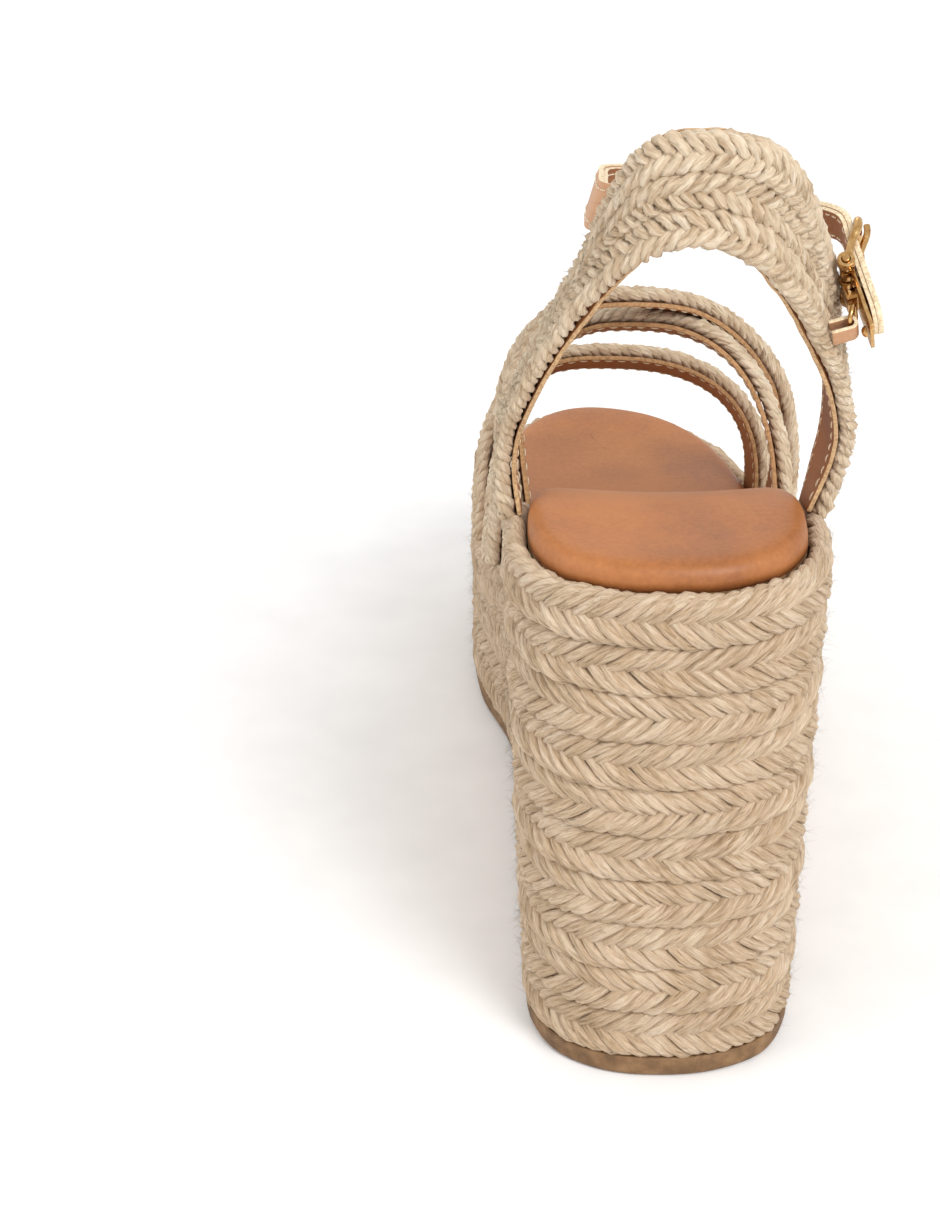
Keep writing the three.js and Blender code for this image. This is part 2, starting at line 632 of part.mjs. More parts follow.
const buckle = new THREE.Group();
buckle.name = "buckle";
buckleBasis.decompose(buckle.position, buckle.quaternion, buckle.scale);
shoe.add(buckle);
addMesh(buckle, "buckle_frame", buckleFrame(), GOLD);
addMesh(buckle, "heel_bar", rod(BAR_RADIUS, 2 * FRAME_HALF + 3, 12).translate(0, 0, BAR_Z), GOLD);
addMesh(buckle, "prong", prongPiece(), GOLD);
addMesh(buckle, "hook_plate", hookPlate(), GOLD);
addMesh(buckle, "plate_rivet", plateRivet(), GOLD);
addMesh(buckle, "hook_ring", hookRing(), GOLD);
addMesh(upper, "ring_tab", ringTab(), LEATHER);

export default root;
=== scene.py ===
"""Wedge sandal for the right foot: jute plaits round a wedge, leather footbed, plaited upper, buckle."""

import math

import bpy
import numpy as np
from mathutils import Matrix, Vector


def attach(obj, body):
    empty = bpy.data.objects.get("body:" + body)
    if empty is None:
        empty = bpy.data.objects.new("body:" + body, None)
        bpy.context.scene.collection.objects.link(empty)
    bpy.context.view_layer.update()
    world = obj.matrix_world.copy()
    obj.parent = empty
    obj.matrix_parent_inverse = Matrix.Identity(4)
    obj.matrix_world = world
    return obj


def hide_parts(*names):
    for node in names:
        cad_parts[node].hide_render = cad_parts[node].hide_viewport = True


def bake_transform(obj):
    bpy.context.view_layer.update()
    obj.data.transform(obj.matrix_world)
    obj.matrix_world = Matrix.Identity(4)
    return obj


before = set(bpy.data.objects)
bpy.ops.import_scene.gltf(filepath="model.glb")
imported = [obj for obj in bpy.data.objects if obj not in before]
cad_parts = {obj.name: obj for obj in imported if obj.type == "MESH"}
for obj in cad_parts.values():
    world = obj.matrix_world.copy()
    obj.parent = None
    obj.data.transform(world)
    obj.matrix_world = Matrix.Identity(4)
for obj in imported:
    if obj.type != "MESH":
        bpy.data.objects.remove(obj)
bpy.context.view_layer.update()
MM = 0.001
HEEL_BACK_Y = -118.0  # the back of the heel in the part's frame, in millimetres
RNG = np.random.default_rng(7)

# ---- sizes of the sandal, in millimetres, y measured from the back of the heel ----
SEAT_HEIGHT = 121.0  # the footbed's top at the heel
SEAT_DROP = 72.5  # from there down to the forefoot
SEAT_END_Y = 30.0  # the slope starts here
FOREFOOT_Y = 165.0  # and ends here
TOE_SPRING = 2.5
TOE_SPRING_Y = 185.0
TOE_Y = 243.5
RIM_DROP = 5.0  # from the footbed's top down to the rim plait's top
RIM_HEIGHT = 10.8
SOLE_THICK = 4.6
SOLE_INSET = 0.7
ROWS = 9
WRAP_THICK = 5.0
CORE_INSET = 5.3
GAP = 0.3

TOP_PLAN = [
    (1, 0), (15.2, 1.9), (27.4, 9.3), (34.2, 20.8), (35.5, 34), (34.5, 52), (33.7, 76), (35.5, 102),
    (39, 130), (41, 157), (40, 183), (35, 207), (26, 226), (13, 238), (-6, 243.5), (-19, 240.5),
    (-29, 231), (-36, 214), (-39.5, 190), (-40.5, 163), (-39, 137), (-34.5, 108), (-31.5, 80),
    (-31.7, 55), (-33.4, 34), (-32.2, 21), (-26, 9.3), (-13.8, 1.9),
]
FLOOR_PLAN = [
    (1.9, 0.4), (13.6, 2.2), (24.4, 8.6), (29.7, 19.3), (31.3, 32), (31, 51), (31.4, 76), (33.8, 102),
    (38, 130), (40.2, 157), (39.2, 183), (34.2, 207), (25.2, 225.6), (12.4, 237.2), (-6, 242.4),
    (-18.6, 239.5), (-28.3, 230.3), (-35.2, 213.5), (-38.5, 190), (-37, 163), (-29.6, 137),
    (-27.2, 108), (-26.4, 80), (-26.6, 55), (-27.4, 34), (-26.5, 20.2), (-21.2, 9), (-11, 2.2),
]
BAND_REAR = [
    (-33.2, 38, 115.8), (-34.4, 40, 124), (-34, 38.5, 133), (-30.8, 31.6, 146), (-24.2, 23.3, 162.4),
    (-15.4, 14.9, 176.7), (-5.7, 8, 186), (3.8, 5.4, 188.8), (13.4, 8, 185), (23.6, 15.4, 174),
    (30.8, 23.8, 161), (37, 31.5, 147), (39.4, 37, 134), (38, 39.5, 124), (34.8, 38.5, 115.8),
]
BAND_FRONT = [
    (-33, 54, 110.6), (-34.2, 53, 124), (-33, 49, 136), (-29.8, 44, 148), (-25, 37.5, 162),
    (-19.2, 29.8, 177), (-14.6, 20.5, 192.5), (-10.1, 12, 204.6), (-5.4, 7.2, 210),
    (3.7, 5.6, 211.8), (11.8, 7.4, 210.6), (18, 10.2, 207.4), (23, 14.9, 201.8),
    (26.6, 21.4, 194.4), (30.3, 29.8, 184), (33, 37.2, 175), (35.4, 43.5, 162), (37.4, 48.5, 147),
    (38, 52.5, 133), (36.8, 54.5, 122), (34.8, 54.5, 110.4),
]
LINING = 1.1
BRAID = 3.0

VAMP = [(150, 108, 0), (80, 158, 1), (105, 175, 1), (172, 192, 0)]  # inner y, outer y, over
VAMP_RIDGE_Y = [70, 100, 120, 140, 165, 185, 200, 215]
VAMP_RIDGE_Z = [141, 131, 124, 113.5, 98, 84.5, 74.5, 65.5]
VAMP_RIDGE_X = -5.0
VAMP_SQUARE = 2.7  # 2 would be an ellipse
VAMP_WIDTH = 12.5
VAMP_STAND_OFF = 0.7  # from the footbed's edge, and from a strap that it crosses
ROOT_GAP = 1.1

FOLD = np.array((-14.6, 32, 187.2))
HEEL_BAR = np.array((38.8, 37, 170.6))
BUCKLE_BACK = np.array((0.22, -0.82, -0.52))
BUCKLE_OUT = np.array((0.96, 0.12, 0.25))
FOLD_UP = np.array((0.27, 0.05, 0.96))
ANKLE_STRAP_WIDTH = 10.0
TIP_LENGTH = 12.6
STRAP_TOP = 0.55  # half the thickness of the strap's outer leather
STRAP_UNDER = -1.45  # the underside of its lining
TAB_AT = (11.0, -5.85)  # the fixed bar of the ring, along and out from the strap


# ---- curves ----
CURVE_POINTS = 1201  # for measuring along a curve
LEAST_KNOT = 1e-4


def unit(v):
    """Vectors at length 1."""
    v = np.asarray(v, float)
    return v / np.linalg.norm(v, axis=-1, keepdims=True)


class Spline:
    """Centripetal Catmull-Rom curve through points, with u from 0 to 1."""

    def __init__(self, points, closed=False):
        self.p = np.asarray(points, float)
        self.closed = closed
        fine = self.at(np.linspace(0, 1, CURVE_POINTS))
        step = np.linalg.norm(np.diff(fine, axis=0), axis=1)
        self.run = np.concatenate([[0], np.cumsum(step)])

    def at(self, u):
        """The curve at u, which counts its spans evenly."""
        u = np.asarray(u, float)
        n = len(self.p)
        last = n if self.closed else n - 1
        x = (u % 1.0 if self.closed else np.clip(u, 0, 1)) * last
        i = np.minimum(np.floor(x).astype(int), last - 1)
        t = (x - i)[..., None]

        def point(k):
            if self.closed:
                return self.p[k % n]
            inner = self.p[np.clip(k, 0, n - 1)]
            before = 2 * self.p[0] - self.p[1]
            after = 2 * self.p[-1] - self.p[-2]
            return np.where((k < 0)[..., None], before, np.where((k >= n)[..., None], after, inner))

        p0, p1, p2, p3 = point(i - 1), point(i), point(i + 1), point(i + 2)
        d0, d1, d2 = [
            np.maximum(np.linalg.norm(b - a, axis=-1, keepdims=True) ** 0.5, LEAST_KNOT)
            for a, b in ((p0, p1), (p1, p2), (p2, p3))
        ]
        m1 = (p2 - p1) + d1 * ((p1 - p0) / d0 - (p2 - p0) / (d0 + d1))
        m2 = (p2 - p1) + d1 * ((p3 - p2) / d2 - (p3 - p1) / (d1 + d2))
        return (
            (2 * t**3 - 3 * t**2 + 1) * p1
            + (t**3 - 2 * t**2 + t) * m1
            + (-2 * t**3 + 3 * t**2) * p2
            + (t**3 - t**2) * m2
        )

    def even(self, share):
        """The curve at a share of its length."""
        u = np.linspace(0, 1, CURVE_POINTS)
        return self.at(np.interp(np.asarray(share) * self.run[-1], self.run, u))


def smooth(x, low, high):
    """Rises from 0 at low to 1 at high, level at both ends."""
    t = np.clip((np.asarray(x, float) - low) / (high - low), 0, 1)
    return t * t * (3 - 2 * t)


def length_along(points):
    """The length of a line of points up to each of them."""
    return np.concatenate([[0], np.cumsum(np.linalg.norm(np.diff(points, axis=0), axis=1))])


def vectors_at(s, run, values):
    """Vectors (n, 3), given at the lengths in run, at the lengths s."""
    return np.stack([np.interp(s, run, values[:, k]) for k in range(3)], 1)


# ---- the wedge's form ----
TOP = Spline(TOP_PLAN, closed=True)
FLOOR = Spline(FLOOR_PLAN, closed=True)
PLAN_STEP = 0.002  # of the way round the plan, for its direction


def foot_top(y):
    """The height of the footbed's top."""
    rise = np.maximum(0, (np.asarray(y, float) - TOE_SPRING_Y) / (TOE_Y - TOE_SPRING_Y))
    return SEAT_HEIGHT - SEAT_DROP * smooth(y, SEAT_END_Y, FOREFOOT_Y) + TOE_SPRING * rise**2


def rim_top(y):
    """The height of the rim plait's top."""
    return foot_top(y) - RIM_DROP


def rim_under(y):
    """The height of the rim plait's underside."""
    return rim_top(y) - RIM_HEIGHT


def plan(t, z, inset):
    """Points of the wedge's plan at parameters t, heights z and insets."""
    t, z, inset = np.broadcast_arrays(np.asarray(t, float), z, inset)
    share = (z / SEAT_HEIGHT)[..., None]

    def at(u):
        return FLOOR.at(u) * (1 - share) + TOP.at(u) * share

    here, along = at(t), unit(at(t + PLAN_STEP) - at(t - PLAN_STEP))
    x = here[..., 0] - along[..., 1] * inset
    y = here[..., 1] + along[..., 0] * inset
    return np.stack([x, y, z], -1)


def plan_out(t, z):
    """The outward direction of the plan."""
    return unit(plan(t, z, 0.0) - plan(t, z, 1.0))


# ---- meshes ----
STRAND_SIDES = 8
TUBE_SIDES = 6


def to_frame(points):
    """Points in millimetres from the back of the heel, in metres in the part's frame."""
    return (np.asarray(points, float) + (0, HEEL_BACK_Y, 0)) * MM


def make_mesh(name, points, groups, skins=(), uv=None, tone=None, smooth_faces=True, face_slots=None):
    """A mesh object from points in millimetres and groups of faces with equally many corners.
    uv is per face corner, tone per point, and face_slots the number of each face's skin."""
    mesh = bpy.data.meshes.new(name)
    groups = [np.asarray(group) for group in groups]
    sizes = np.concatenate([np.full(len(group), group.shape[1]) for group in groups])
    corners = np.concatenate([group.reshape(-1) for group in groups])
    starts = np.concatenate([[0], np.cumsum(sizes)[:-1]])
    mesh.vertices.add(len(points))
    mesh.vertices.foreach_set("co", to_frame(points).reshape(-1).astype(np.float32))
    mesh.loops.add(len(corners))
    mesh.loops.foreach_set("vertex_index", corners.astype(np.int32))
    mesh.polygons.add(len(sizes))
    mesh.polygons.foreach_set("loop_start", starts.astype(np.int32))
    if uv is not None:
        layer = mesh.uv_layers.new(name="lay")
        layer.data.foreach_set("uv", np.asarray(uv, np.float32).reshape(-1))
    if tone is not None:
        shades = mesh.attributes.new("tone", "FLOAT", "POINT")
        shades.data.foreach_set("value", np.asarray(tone, np.float32))
    mesh.update(calc_edges=True)
    mesh.polygons.foreach_set("use_smooth", np.full(len(sizes), smooth_faces))
    if face_slots is not None:
        mesh.polygons.foreach_set("material_index", np.asarray(face_slots, np.int32))
    mesh.validate()
    made = bpy.data.objects.new(name, mesh)
    bpy.context.scene.collection.objects.link(made)
    for skin in skins:
        mesh.materials.append(skin)
    return made


def grid_faces(rows, sides, closed_rows=False):
    """Quads between rings of equal length, with the (side, row) of each of their corners."""
    last = rows if closed_rows else rows - 1
    i, j = np.meshgrid(np.arange(last), np.arange(sides), indexing="ij")
    i, j = i.reshape(-1), j.reshape(-1)
    n, k = (i + 1) % rows, (j + 1) % sides
    quads = np.stack([i * sides + j, i * sides + k, n * sides + k, n * sides + j], 1)
    corners = ((j, i), (j + 1, i), (j + 1, i + 1), (j, i + 1))
    return quads, np.stack([np.stack(corner, 1) for corner in corners], 1)


def volume(points, quads):
    """Six times the volume inside the faces, negative where they face inwards."""
    p = points[quads]
    a = np.einsum("ij,ij->i", p[:, 0], np.cross(p[:, 1], p[:, 2])).sum()
    return a + np.einsum("ij,ij->i", p[:, 0], np.cross(p[:, 2], p[:, 3])).sum()


class Bundle:
    """Collects tubes of one piece into one mesh."""

    def __init__(self):
        self.points, self.quads, self.tris, self.uvq, self.uvt, self.tone = [], [], [], [], [], []
        self.count = 0

    def tube(self, rings, around, along, tone, closed=False):
        """A tube from rings (rows, sides, 3); around and along scale its UV."""
        rows, sides = rings.shape[:2]
        points = rings.reshape(-1, 3)
        quads, lay = grid_faces(rows, sides, closed)
        uv = lay.astype(float)
        uv[..., 0] *= around / sides
        uv[..., 1] = np.append(along, along[-1] + (along[-1] - along[-2]))[lay[..., 1]]
        turned = volume(points, quads) < 0
        if turned:
            quads, uv = quads[:, ::-1], uv[:, ::-1]
        self.quads.append(quads + self.count)
        self.uvq.append(uv)
        if not closed:
            corner = np.arange(1, sides - 1)
            for row, flip in ((0, True), (rows - 1, False)):
                fan = np.stack([np.zeros(sides - 2, int), corner, corner + 1], 1) + row * sides
                if flip != turned:
                    fan = fan[:, ::-1]
                self.tris.append(fan + self.count)
                self.uvt.append(np.zeros((len(fan), 3, 2)))
        self.points.append(points)
        self.tone.append(np.broadcast_to(tone, len(points)))
        self.count += len(points)

    def object(self, name, *skins):
        """The mesh object of everything collected."""
        groups = [np.concatenate(self.quads)]
        uvs = [np.concatenate(self.uvq).reshape(-1, 2)]
        if self.tris:
            groups.append(np.concatenate(self.tris))
            uvs.append(np.concatenate(self.uvt).reshape(-1, 2))
        points, tone = np.concatenate(self.points), np.concatenate(self.tone)
        return make_mesh(name, points, groups, skins, uv=np.concatenate(uvs), tone=tone)


def strand_rings(path, out, half_wide, half_thick, sides, along=0.0, lobe_depth=0.0, twist=1.0, phase=0.0):
    """Rings of a strand along a path: an ellipse, wide across and thin along out. It has two twisted
    plies, whose relief is lobe_depth of its thickness and which turn once in each twist of its length."""
    tangent = unit(np.gradient(path, axis=0))
    normal = unit(out - (out * tangent).sum(1, keepdims=True) * tangent)
    across = np.cross(tangent, normal)
    theta = -math.pi / 2 + 2 * math.pi * np.arange(sides) / sides
    along = np.broadcast_to(along, len(path))
    turn = theta[None, :] - (2 * math.pi * along / twist + phase)[:, None]
    swell = 1 + lobe_depth * np.cos(2 * turn) + 0.3 * lobe_depth * np.cos(5 * turn + 1.3)
    c, s = np.cos(theta)[None, :] * swell, np.sin(theta)[None, :] * swell
    wide = np.broadcast_to(half_wide, len(path))[:, None, None]
    thick = np.broadcast_to(half_thick, len(path))[:, None, None]
    return path[:, None] + across[:, None] * (c[..., None] * wide) + normal[:, None] * (s[..., None] * thick)


def pick(made):
    """Makes one object the active one and the only one that is selected."""
    bpy.ops.object.select_all(action="DESELECT")
    made.select_set(True)
    bpy.context.view_layer.objects.active = made


def reshape(made, kind, **settings):
    """Applies a modifier of a kind with these settings."""
    pick(made)
    modifier = made.modifiers.new("shape", kind)
    for key, value in settings.items():
        setattr(modifier, key, value)
    bpy.ops.object.modifier_apply(modifier=modifier.name)


def cut_away(made, cutter):
    """Takes the cutter's space out of a piece, and the cutter out of the scene."""
    reshape(made, "BOOLEAN", operation="DIFFERENCE", object=cutter)
    bpy.data.objects.remove(cutter)


def round_edges(made, width, sharp, smooth_to):
    """Rounds the edges that turn by more than sharp degrees, and shades those under smooth_to smooth."""
    limit = math.radians(sharp)
    reshape(made, "BEVEL", width=width * MM, segments=2, limit_method="ANGLE", angle_limit=limit)
    bpy.ops.object.shade_smooth_by_angle(angle=math.radians(smooth_to))


# ---- plaits ----
CROSSING = 0.84  # the share of a plait's width that a strand crosses
LIFT = 0.22  # how far a strand rises over the others and dips under them, of the plait's thickness
STRAND_THICK = 0.27  # half a strand's thickness, of the plait's
ROUNDEST = 1.35  # half a strand's thickness at most, of half its width
STRAIGHT = 0.93  # 1 would be a zigzag, 0 a sine wave
SLOW_WAVE, QUICK_WAVE = 46, 19  # lengths of the unevenness, fitted round a closed plait
SLOW_RATE, QUICK_RATE = 0.14, 0.33  # the same in an open plait, in radians a millimetre
HAIR_POINTS = 5
HAIR_RISE = 0.55  # how far a hair's tip stands off, of its length


def hair_rings(start, way, up, length, radius):
    """Rings of a loose fibre, which leaves the surface along a strand and curls away from it."""
    side = np.cross(way, up)
    curl = RNG.uniform(-0.7, 0.7)
    share = np.linspace(0, 1, HAIR_POINTS)[:, None]
    path = start + length * (way * share + up * HAIR_RISE * share**1.5 + side * curl * share**2)
    tangent = unit(np.gradient(path, axis=0))
    a = unit(np.cross(tangent, up + 0.01))
    b = np.cross(tangent, a)
    angle = (np.arange(3) * 2 * math.pi / 3)[None, :, None]
    thin = radius * (1 - 0.7 * share[:, :, None])
    return path[:, None] + thin * (a[:, None] * np.cos(angle) + b[:, None] * np.sin(angle))


def scatter_hairs(bundle, rings, core, face, count, lengths, radius):
    """Adds loose fibres that start on the outward side of one strand."""
    rows = RNG.integers(2, len(rings) - 3, count)
    side = RNG.uniform(0.1, 0.9, count) * math.pi
    column = ((side + math.pi / 2) / (2 * math.pi) * STRAND_SIDES).astype(int)
    starts = rings[rows, np.clip(column, 0, STRAND_SIDES - 1)]
    ways = unit(core[rows + 1] - core[rows - 1]) * RNG.choice([-1, 1], count)[:, None]
    ups = unit(starts - core[rows] + face[rows] * 0.3)
    for start, way, up, length in zip(starts, ways, ups, RNG.uniform(*lengths, count)):
        rings = hair_rings(start, way, up, length, radius)
        bundle.tube(rings, 1, np.linspace(0, length, HAIR_POINTS), RNG.uniform(0.6, 1.0))


def fitted(length, total):
    """The length nearest to this one that goes a whole number of times into the total."""
    return total / round(total / length)


def plait(name, path, across, out, width, thick, *, skin, wider, thicker, strands, pitch, fill, twist, ply,
          step, sway, hairs, hair_length, hair_radius, way=1, closed=False, scale=1.0, phase=0.0):
    """A flat plait along a path. Each strand runs inwards over half of the others and outwards under the
    other half, so that the face shows two columns of slanted strokes that meet along the middle.
    scale narrows it along the path, and way turns the strokes round."""
    width, thick = width + wider, thick + thicker
    run = length_along(np.concatenate([path, path[:1] if closed else path[-1:]]))
    total = run[-1]
    count = max(8, int(total / step))
    wave = strands * pitch
    slow, quick = SLOW_RATE, QUICK_RATE
    if closed:
        wave, twist = fitted(wave, total), fitted(twist, total)
        slow, quick = (2 * math.pi / fitted(length, total) for length in (SLOW_WAVE, QUICK_WAVE))
    # a closed plait is worked out a little past its joint on both sides, so that its rings match there
    pad = 3 if closed else 0
    s = np.linspace(0, total, count, endpoint=not closed)
    s = np.concatenate([s[count - pad :] - total, s, s[:pad] + total])
    kept = slice(pad, len(s) - pad)
    at_run = s % total if closed else s

    def along(values):
        return vectors_at(at_run, run, np.concatenate([values, values[:1] if closed else values[-1:]]))

    middle, over, face = along(path), unit(along(across)), unit(along(out))
    scale = np.broadcast_to(scale, len(path))
    size = np.interp(at_run, run, np.append(scale, scale[0] if closed else scale[-1]))
    slant = math.atan2(2 * width * CROSSING, wave)
    half_wide = fill * pitch * math.sin(slant) * (0.5 + 0.5 * size)
    half_thick = np.minimum(thick * STRAND_THICK, half_wide * ROUNDEST)
    reach = width / 2 * size - half_wide * 0.9
    lift = thick * LIFT * (0.4 + 0.6 * size)
    bundle = Bundle()
    for k, w in enumerate(RNG.uniform(0, 2 * math.pi, (strands, 4))):
        angle = way * 2 * math.pi * s / wave + 2 * math.pi * k / strands + phase
        loose = sway * (np.sin(slow * s + w[0]) + 0.8 * np.sin(quick * s + w[1]))
        b = np.arcsin(STRAIGHT * np.sin(angle)) / math.asin(STRAIGHT) * reach + loose
        d = sway * 0.7 * np.sin(quick * s + w[3]) - np.sin(2 * angle) * lift
        centre = middle + over * b[:, None] + face * d[:, None]
        bulge = 1 + 0.07 * np.sin(slow * 2 * s + w[1]) + 0.06 * np.sin(quick * 2 * s + w[2])
        rings = strand_rings(
            centre, face, half_wide * bulge, half_thick * bulge, STRAND_SIDES, s, ply, twist, w[0]
        )[kept]
        places = s[kept]
        shade = np.repeat(0.5 + 0.5 * np.sin(places / 9 + w[1]), STRAND_SIDES) * 0.4 + 0.6 * RNG.random()
        bundle.tube(rings, 1.0, places / 10, shade, closed)
        scatter_hairs(
            bundle, rings, centre[kept], face[kept], int(total * hairs / strands), hair_length, hair_radius
        )
    made = bundle.object(name, skin)
    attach(made, "sandal")
    return made


# ---- materials, all of them procedural ----
def linear(code):
    """sRGB hex to linear RGBA."""
    parts = [int(code[i : i + 2], 16) / 255 for i in (1, 3, 5)]
    return [c / 12.92 if c <= 0.04045 else ((c + 0.055) / 1.055) ** 2.4 for c in parts] + [1.0]


class Skin:
    """A material that is built up node by node. Its place is in metres on the object."""

    def __init__(self, name, **inputs):
        self.material = bpy.data.materials.new(name)
        self.material.use_nodes = True
        self.tree = self.material.node_tree
        self.shader = self.tree.nodes["Principled BSDF"]
        for key, value in inputs.items():
            self.shader.inputs[key.replace("_", " ")].default_value = value
        self.place = self.node("ShaderNodeTexCoord").outputs["Object"]

    def node(self, kind, settings=None, **links):
        """Adds a node; settings are its properties, links fill its inputs with values or sockets."""
        made = self.tree.nodes.new(kind)
        for key, value in (settings or {}).items():
            setattr(made, key, value)
        for key, value in links.items():
            socket = made.inputs[int(key[1:])] if key[0] == "_" else made.inputs[key.replace("_", " ")]
            if isinstance(value, bpy.types.NodeSocket):
                self.tree.links.new(value, socket)
            else:
                socket.default_value = value
        return made

    def noise(self, place, scale, detail, roughness=0.5):
        """Fractal noise around 0.5."""
        inputs = dict(Vector=place, Scale=scale, Detail=detail, Roughness=roughness)
        return self.node("ShaderNodeTexNoise", **inputs).outputs["Fac"]

    def cells(self, scale, feature="F1"):
        """Distances in a pattern of cells."""
        made = self.node("ShaderNodeTexVoronoi", {"feature": feature}, Vector=self.place, Scale=scale)
        return made.outputs["Distance"]

    def weigh(self, value, weight, more=0.0):
        """The value times its weight, and more added to it."""
        made = self.node("ShaderNodeMath", {"operation": "MULTIPLY_ADD"}, _0=value, _1=weight, _2=more)
        return made.outputs[0]

    def stretch(self, place, scale, turn=0.0):
        """The place scaled on each axis and turned, for streaks."""
        return self.node("ShaderNodeMapping", Vector=place, Rotation=(0, 0, turn), Scale=scale).outputs[0]

    def tint(self, factor, *stops):
        """Colours the material by a factor, along stops of (factor, hex colour)."""
        made = self.node("ShaderNodeValToRGB", Fac=factor)
        while len(made.color_ramp.elements) < len(stops):
            made.color_ramp.elements.new(0.5)
        for element, (position, colour) in zip(made.color_ramp.elements, stops):
            element.position = position
            element.color = linear(colour)
        self.tree.links.new(made.outputs["Color"], self.shader.inputs["Base Color"])

    def gloss(self, value, smoothest, roughest):
        """The roughness between two limits, by a noise value."""
        limits = dict(From_Min=0.3, From_Max=0.7, To_Min=smoothest, To_Max=roughest)
        made = self.node("ShaderNodeMapRange", Value=value, **limits)
        self.tree.links.new(made.outputs[0], self.shader.inputs["Roughness"])

    def relief(self, *layers):
        """Bump, in layers of (height, strength, depth in metres), each over the one before."""
        under = {}
        for height, strength, depth in layers:
            made = self.node("ShaderNodeBump", Height=height, Strength=strength, Distance=depth, **under)
            under = {"Normal": made.outputs["Normal"]}
        self.tree.links.new(under["Normal"], self.shader.inputs["Normal"])


def jute(name, dark, middle, light, bright, fibres):
    """Retted jute fibre, loosely spun: pale straw with browner streaks, matt, fibres along the strand."""
    skin = Skin(
        name, Roughness=0.88, Specular_IOR_Level=0.25, Sheen_Weight=0.25, Sheen_Roughness=0.6,
        Sheen_Tint=linear("#efe0c8"),
    )
    # u runs once round a strand and v is in centimetres along it; fibres about 0.25 mm wide, 6 mm long
    uv = skin.node("ShaderNodeUVMap", {"uv_map": "lay"}).outputs["UV"]
    tone = skin.node("ShaderNodeAttribute", {"attribute_name": "tone"}).outputs["Fac"]
    coarse = skin.noise(skin.stretch(uv, (fibres, 1.6, 1), 0.18), 1.0, 5.0, 0.62)
    fine = skin.noise(skin.stretch(uv, (fibres * 3.1, 4.5, 1), 0.1), 1.0, 4.0, 0.6)
    mixed = skin.weigh(coarse, 0.55, skin.weigh(fine, 0.45, -0.13))
    mixed = skin.weigh(tone, 0.10, mixed)
    mixed = skin.weigh(skin.noise(skin.place, 90.0, 2.0), 0.16, mixed)
    skin.tint(mixed, (0.32, dark), (0.43, middle), (0.54, light), (0.68, bright))
    skin.relief((skin.weigh(coarse, 1.4, fine), 1.3, 0.0004))
    return skin.material


def leather(name, dark, middle, light, roughness, grain, bump):
    """Vegetable-tanned cowhide, smooth finished: a fine pebble grain, a soft satin sheen, cloudy tone."""
    skin = Skin(name, Specular_IOR_Level=0.4)
    cloud = skin.noise(skin.place, 34.0, 4.0, 0.55)
    speck = skin.noise(skin.place, 900.0, 3.0)
    # pebbles of the grain, drawn about 0.7 mm across so that they show
    pebble = skin.cells(grain, "DISTANCE_TO_EDGE")
    tone = skin.weigh(speck, 0.3, skin.weigh(cloud, 1.0, -0.15))
    skin.tint(tone, (0.3, dark), (0.5, middle), (0.72, light))
    skin.gloss(cloud, roughness - 0.06, roughness + 0.08)
    skin.relief((pebble, bump, 0.0002), (speck, bump * 0.6, 0.00012))
    return skin.material


def cut_edge(name, dark, light):
    """Raw edge of split leather: fibrous and matt."""
    skin = Skin(name, Roughness=0.9)
    fuzz = skin.noise(skin.place, 1500.0, 4.0)
    skin.tint(fuzz, (0.3, dark), (0.6, light))
    skin.relief((fuzz, 0.6, 0.0002))
    return skin.material


def crepe_rubber():
    """Moulded crepe rubber: brown, slightly mottled, matt, with fine pores."""
    skin = Skin("brown_crepe_rubber", Roughness=0.7)
    mottle = skin.noise(skin.place, 260.0, 5.0)
    skin.tint(mottle, (0.3, "#664a2e"), (0.5, "#7d5d3c"), (0.72, "#94734f"))
    skin.relief((skin.weigh(mottle, 1.5, skin.cells(1100.0)), 0.45, 0.0003))
    return skin.material


def gold_plate():
    """Electroplated pale gold on cast zinc: bright, with faint polishing lines and rubbed patches."""
    skin = Skin("polished_pale_gold_plate", Metallic=1.0)
    rub = skin.noise(skin.place, 700.0, 4.0)
    skin.tint(rub, (0.3, "#b5854c"), (0.7, "#deb87f"))
    skin.gloss(rub, 0.14, 0.3)
    skin.relief((skin.noise(skin.stretch(skin.place, (300, 300, 5000)), 1.0, 2.0), 0.06, 0.0001))
    return skin.material


def thread():
    """Waxed linen sewing thread: pale cream, slightly shiny, with its twist."""
    skin = Skin("waxed_cream_thread", Roughness=0.6)
    twist = skin.node("ShaderNodeTexWave", Vector=skin.place, Scale=900.0, Distortion=1.0).outputs["Fac"]
    skin.tint(twist, (0.2, "#cdb592"), (0.8, "#efe2c6"))
    return skin.material


def layered(name, dark, light, scale, roughness, bump):
    """A hidden inner layer: cork granules, pressed fibres or open foam cells, by the scale of the grain."""
    skin = Skin(name, Roughness=roughness)
    grain = skin.weigh(skin.cells(scale), 0.5, skin.noise(skin.place, scale * 3, 4.0))
    skin.tint(grain, (0.45, dark), (1.0, light))
    skin.relief((grain, bump, 0.0003))
    return skin.material


def paper():
    """Matt white backdrop paper with a faint fleck."""
    skin = Skin("matt_white_backdrop_paper", Roughness=0.9)
    skin.tint(skin.noise(skin.place, 60.0, 3.0), (0.3, "#f3f2f1"), (0.7, "#f8f7f6"))
    return skin.material


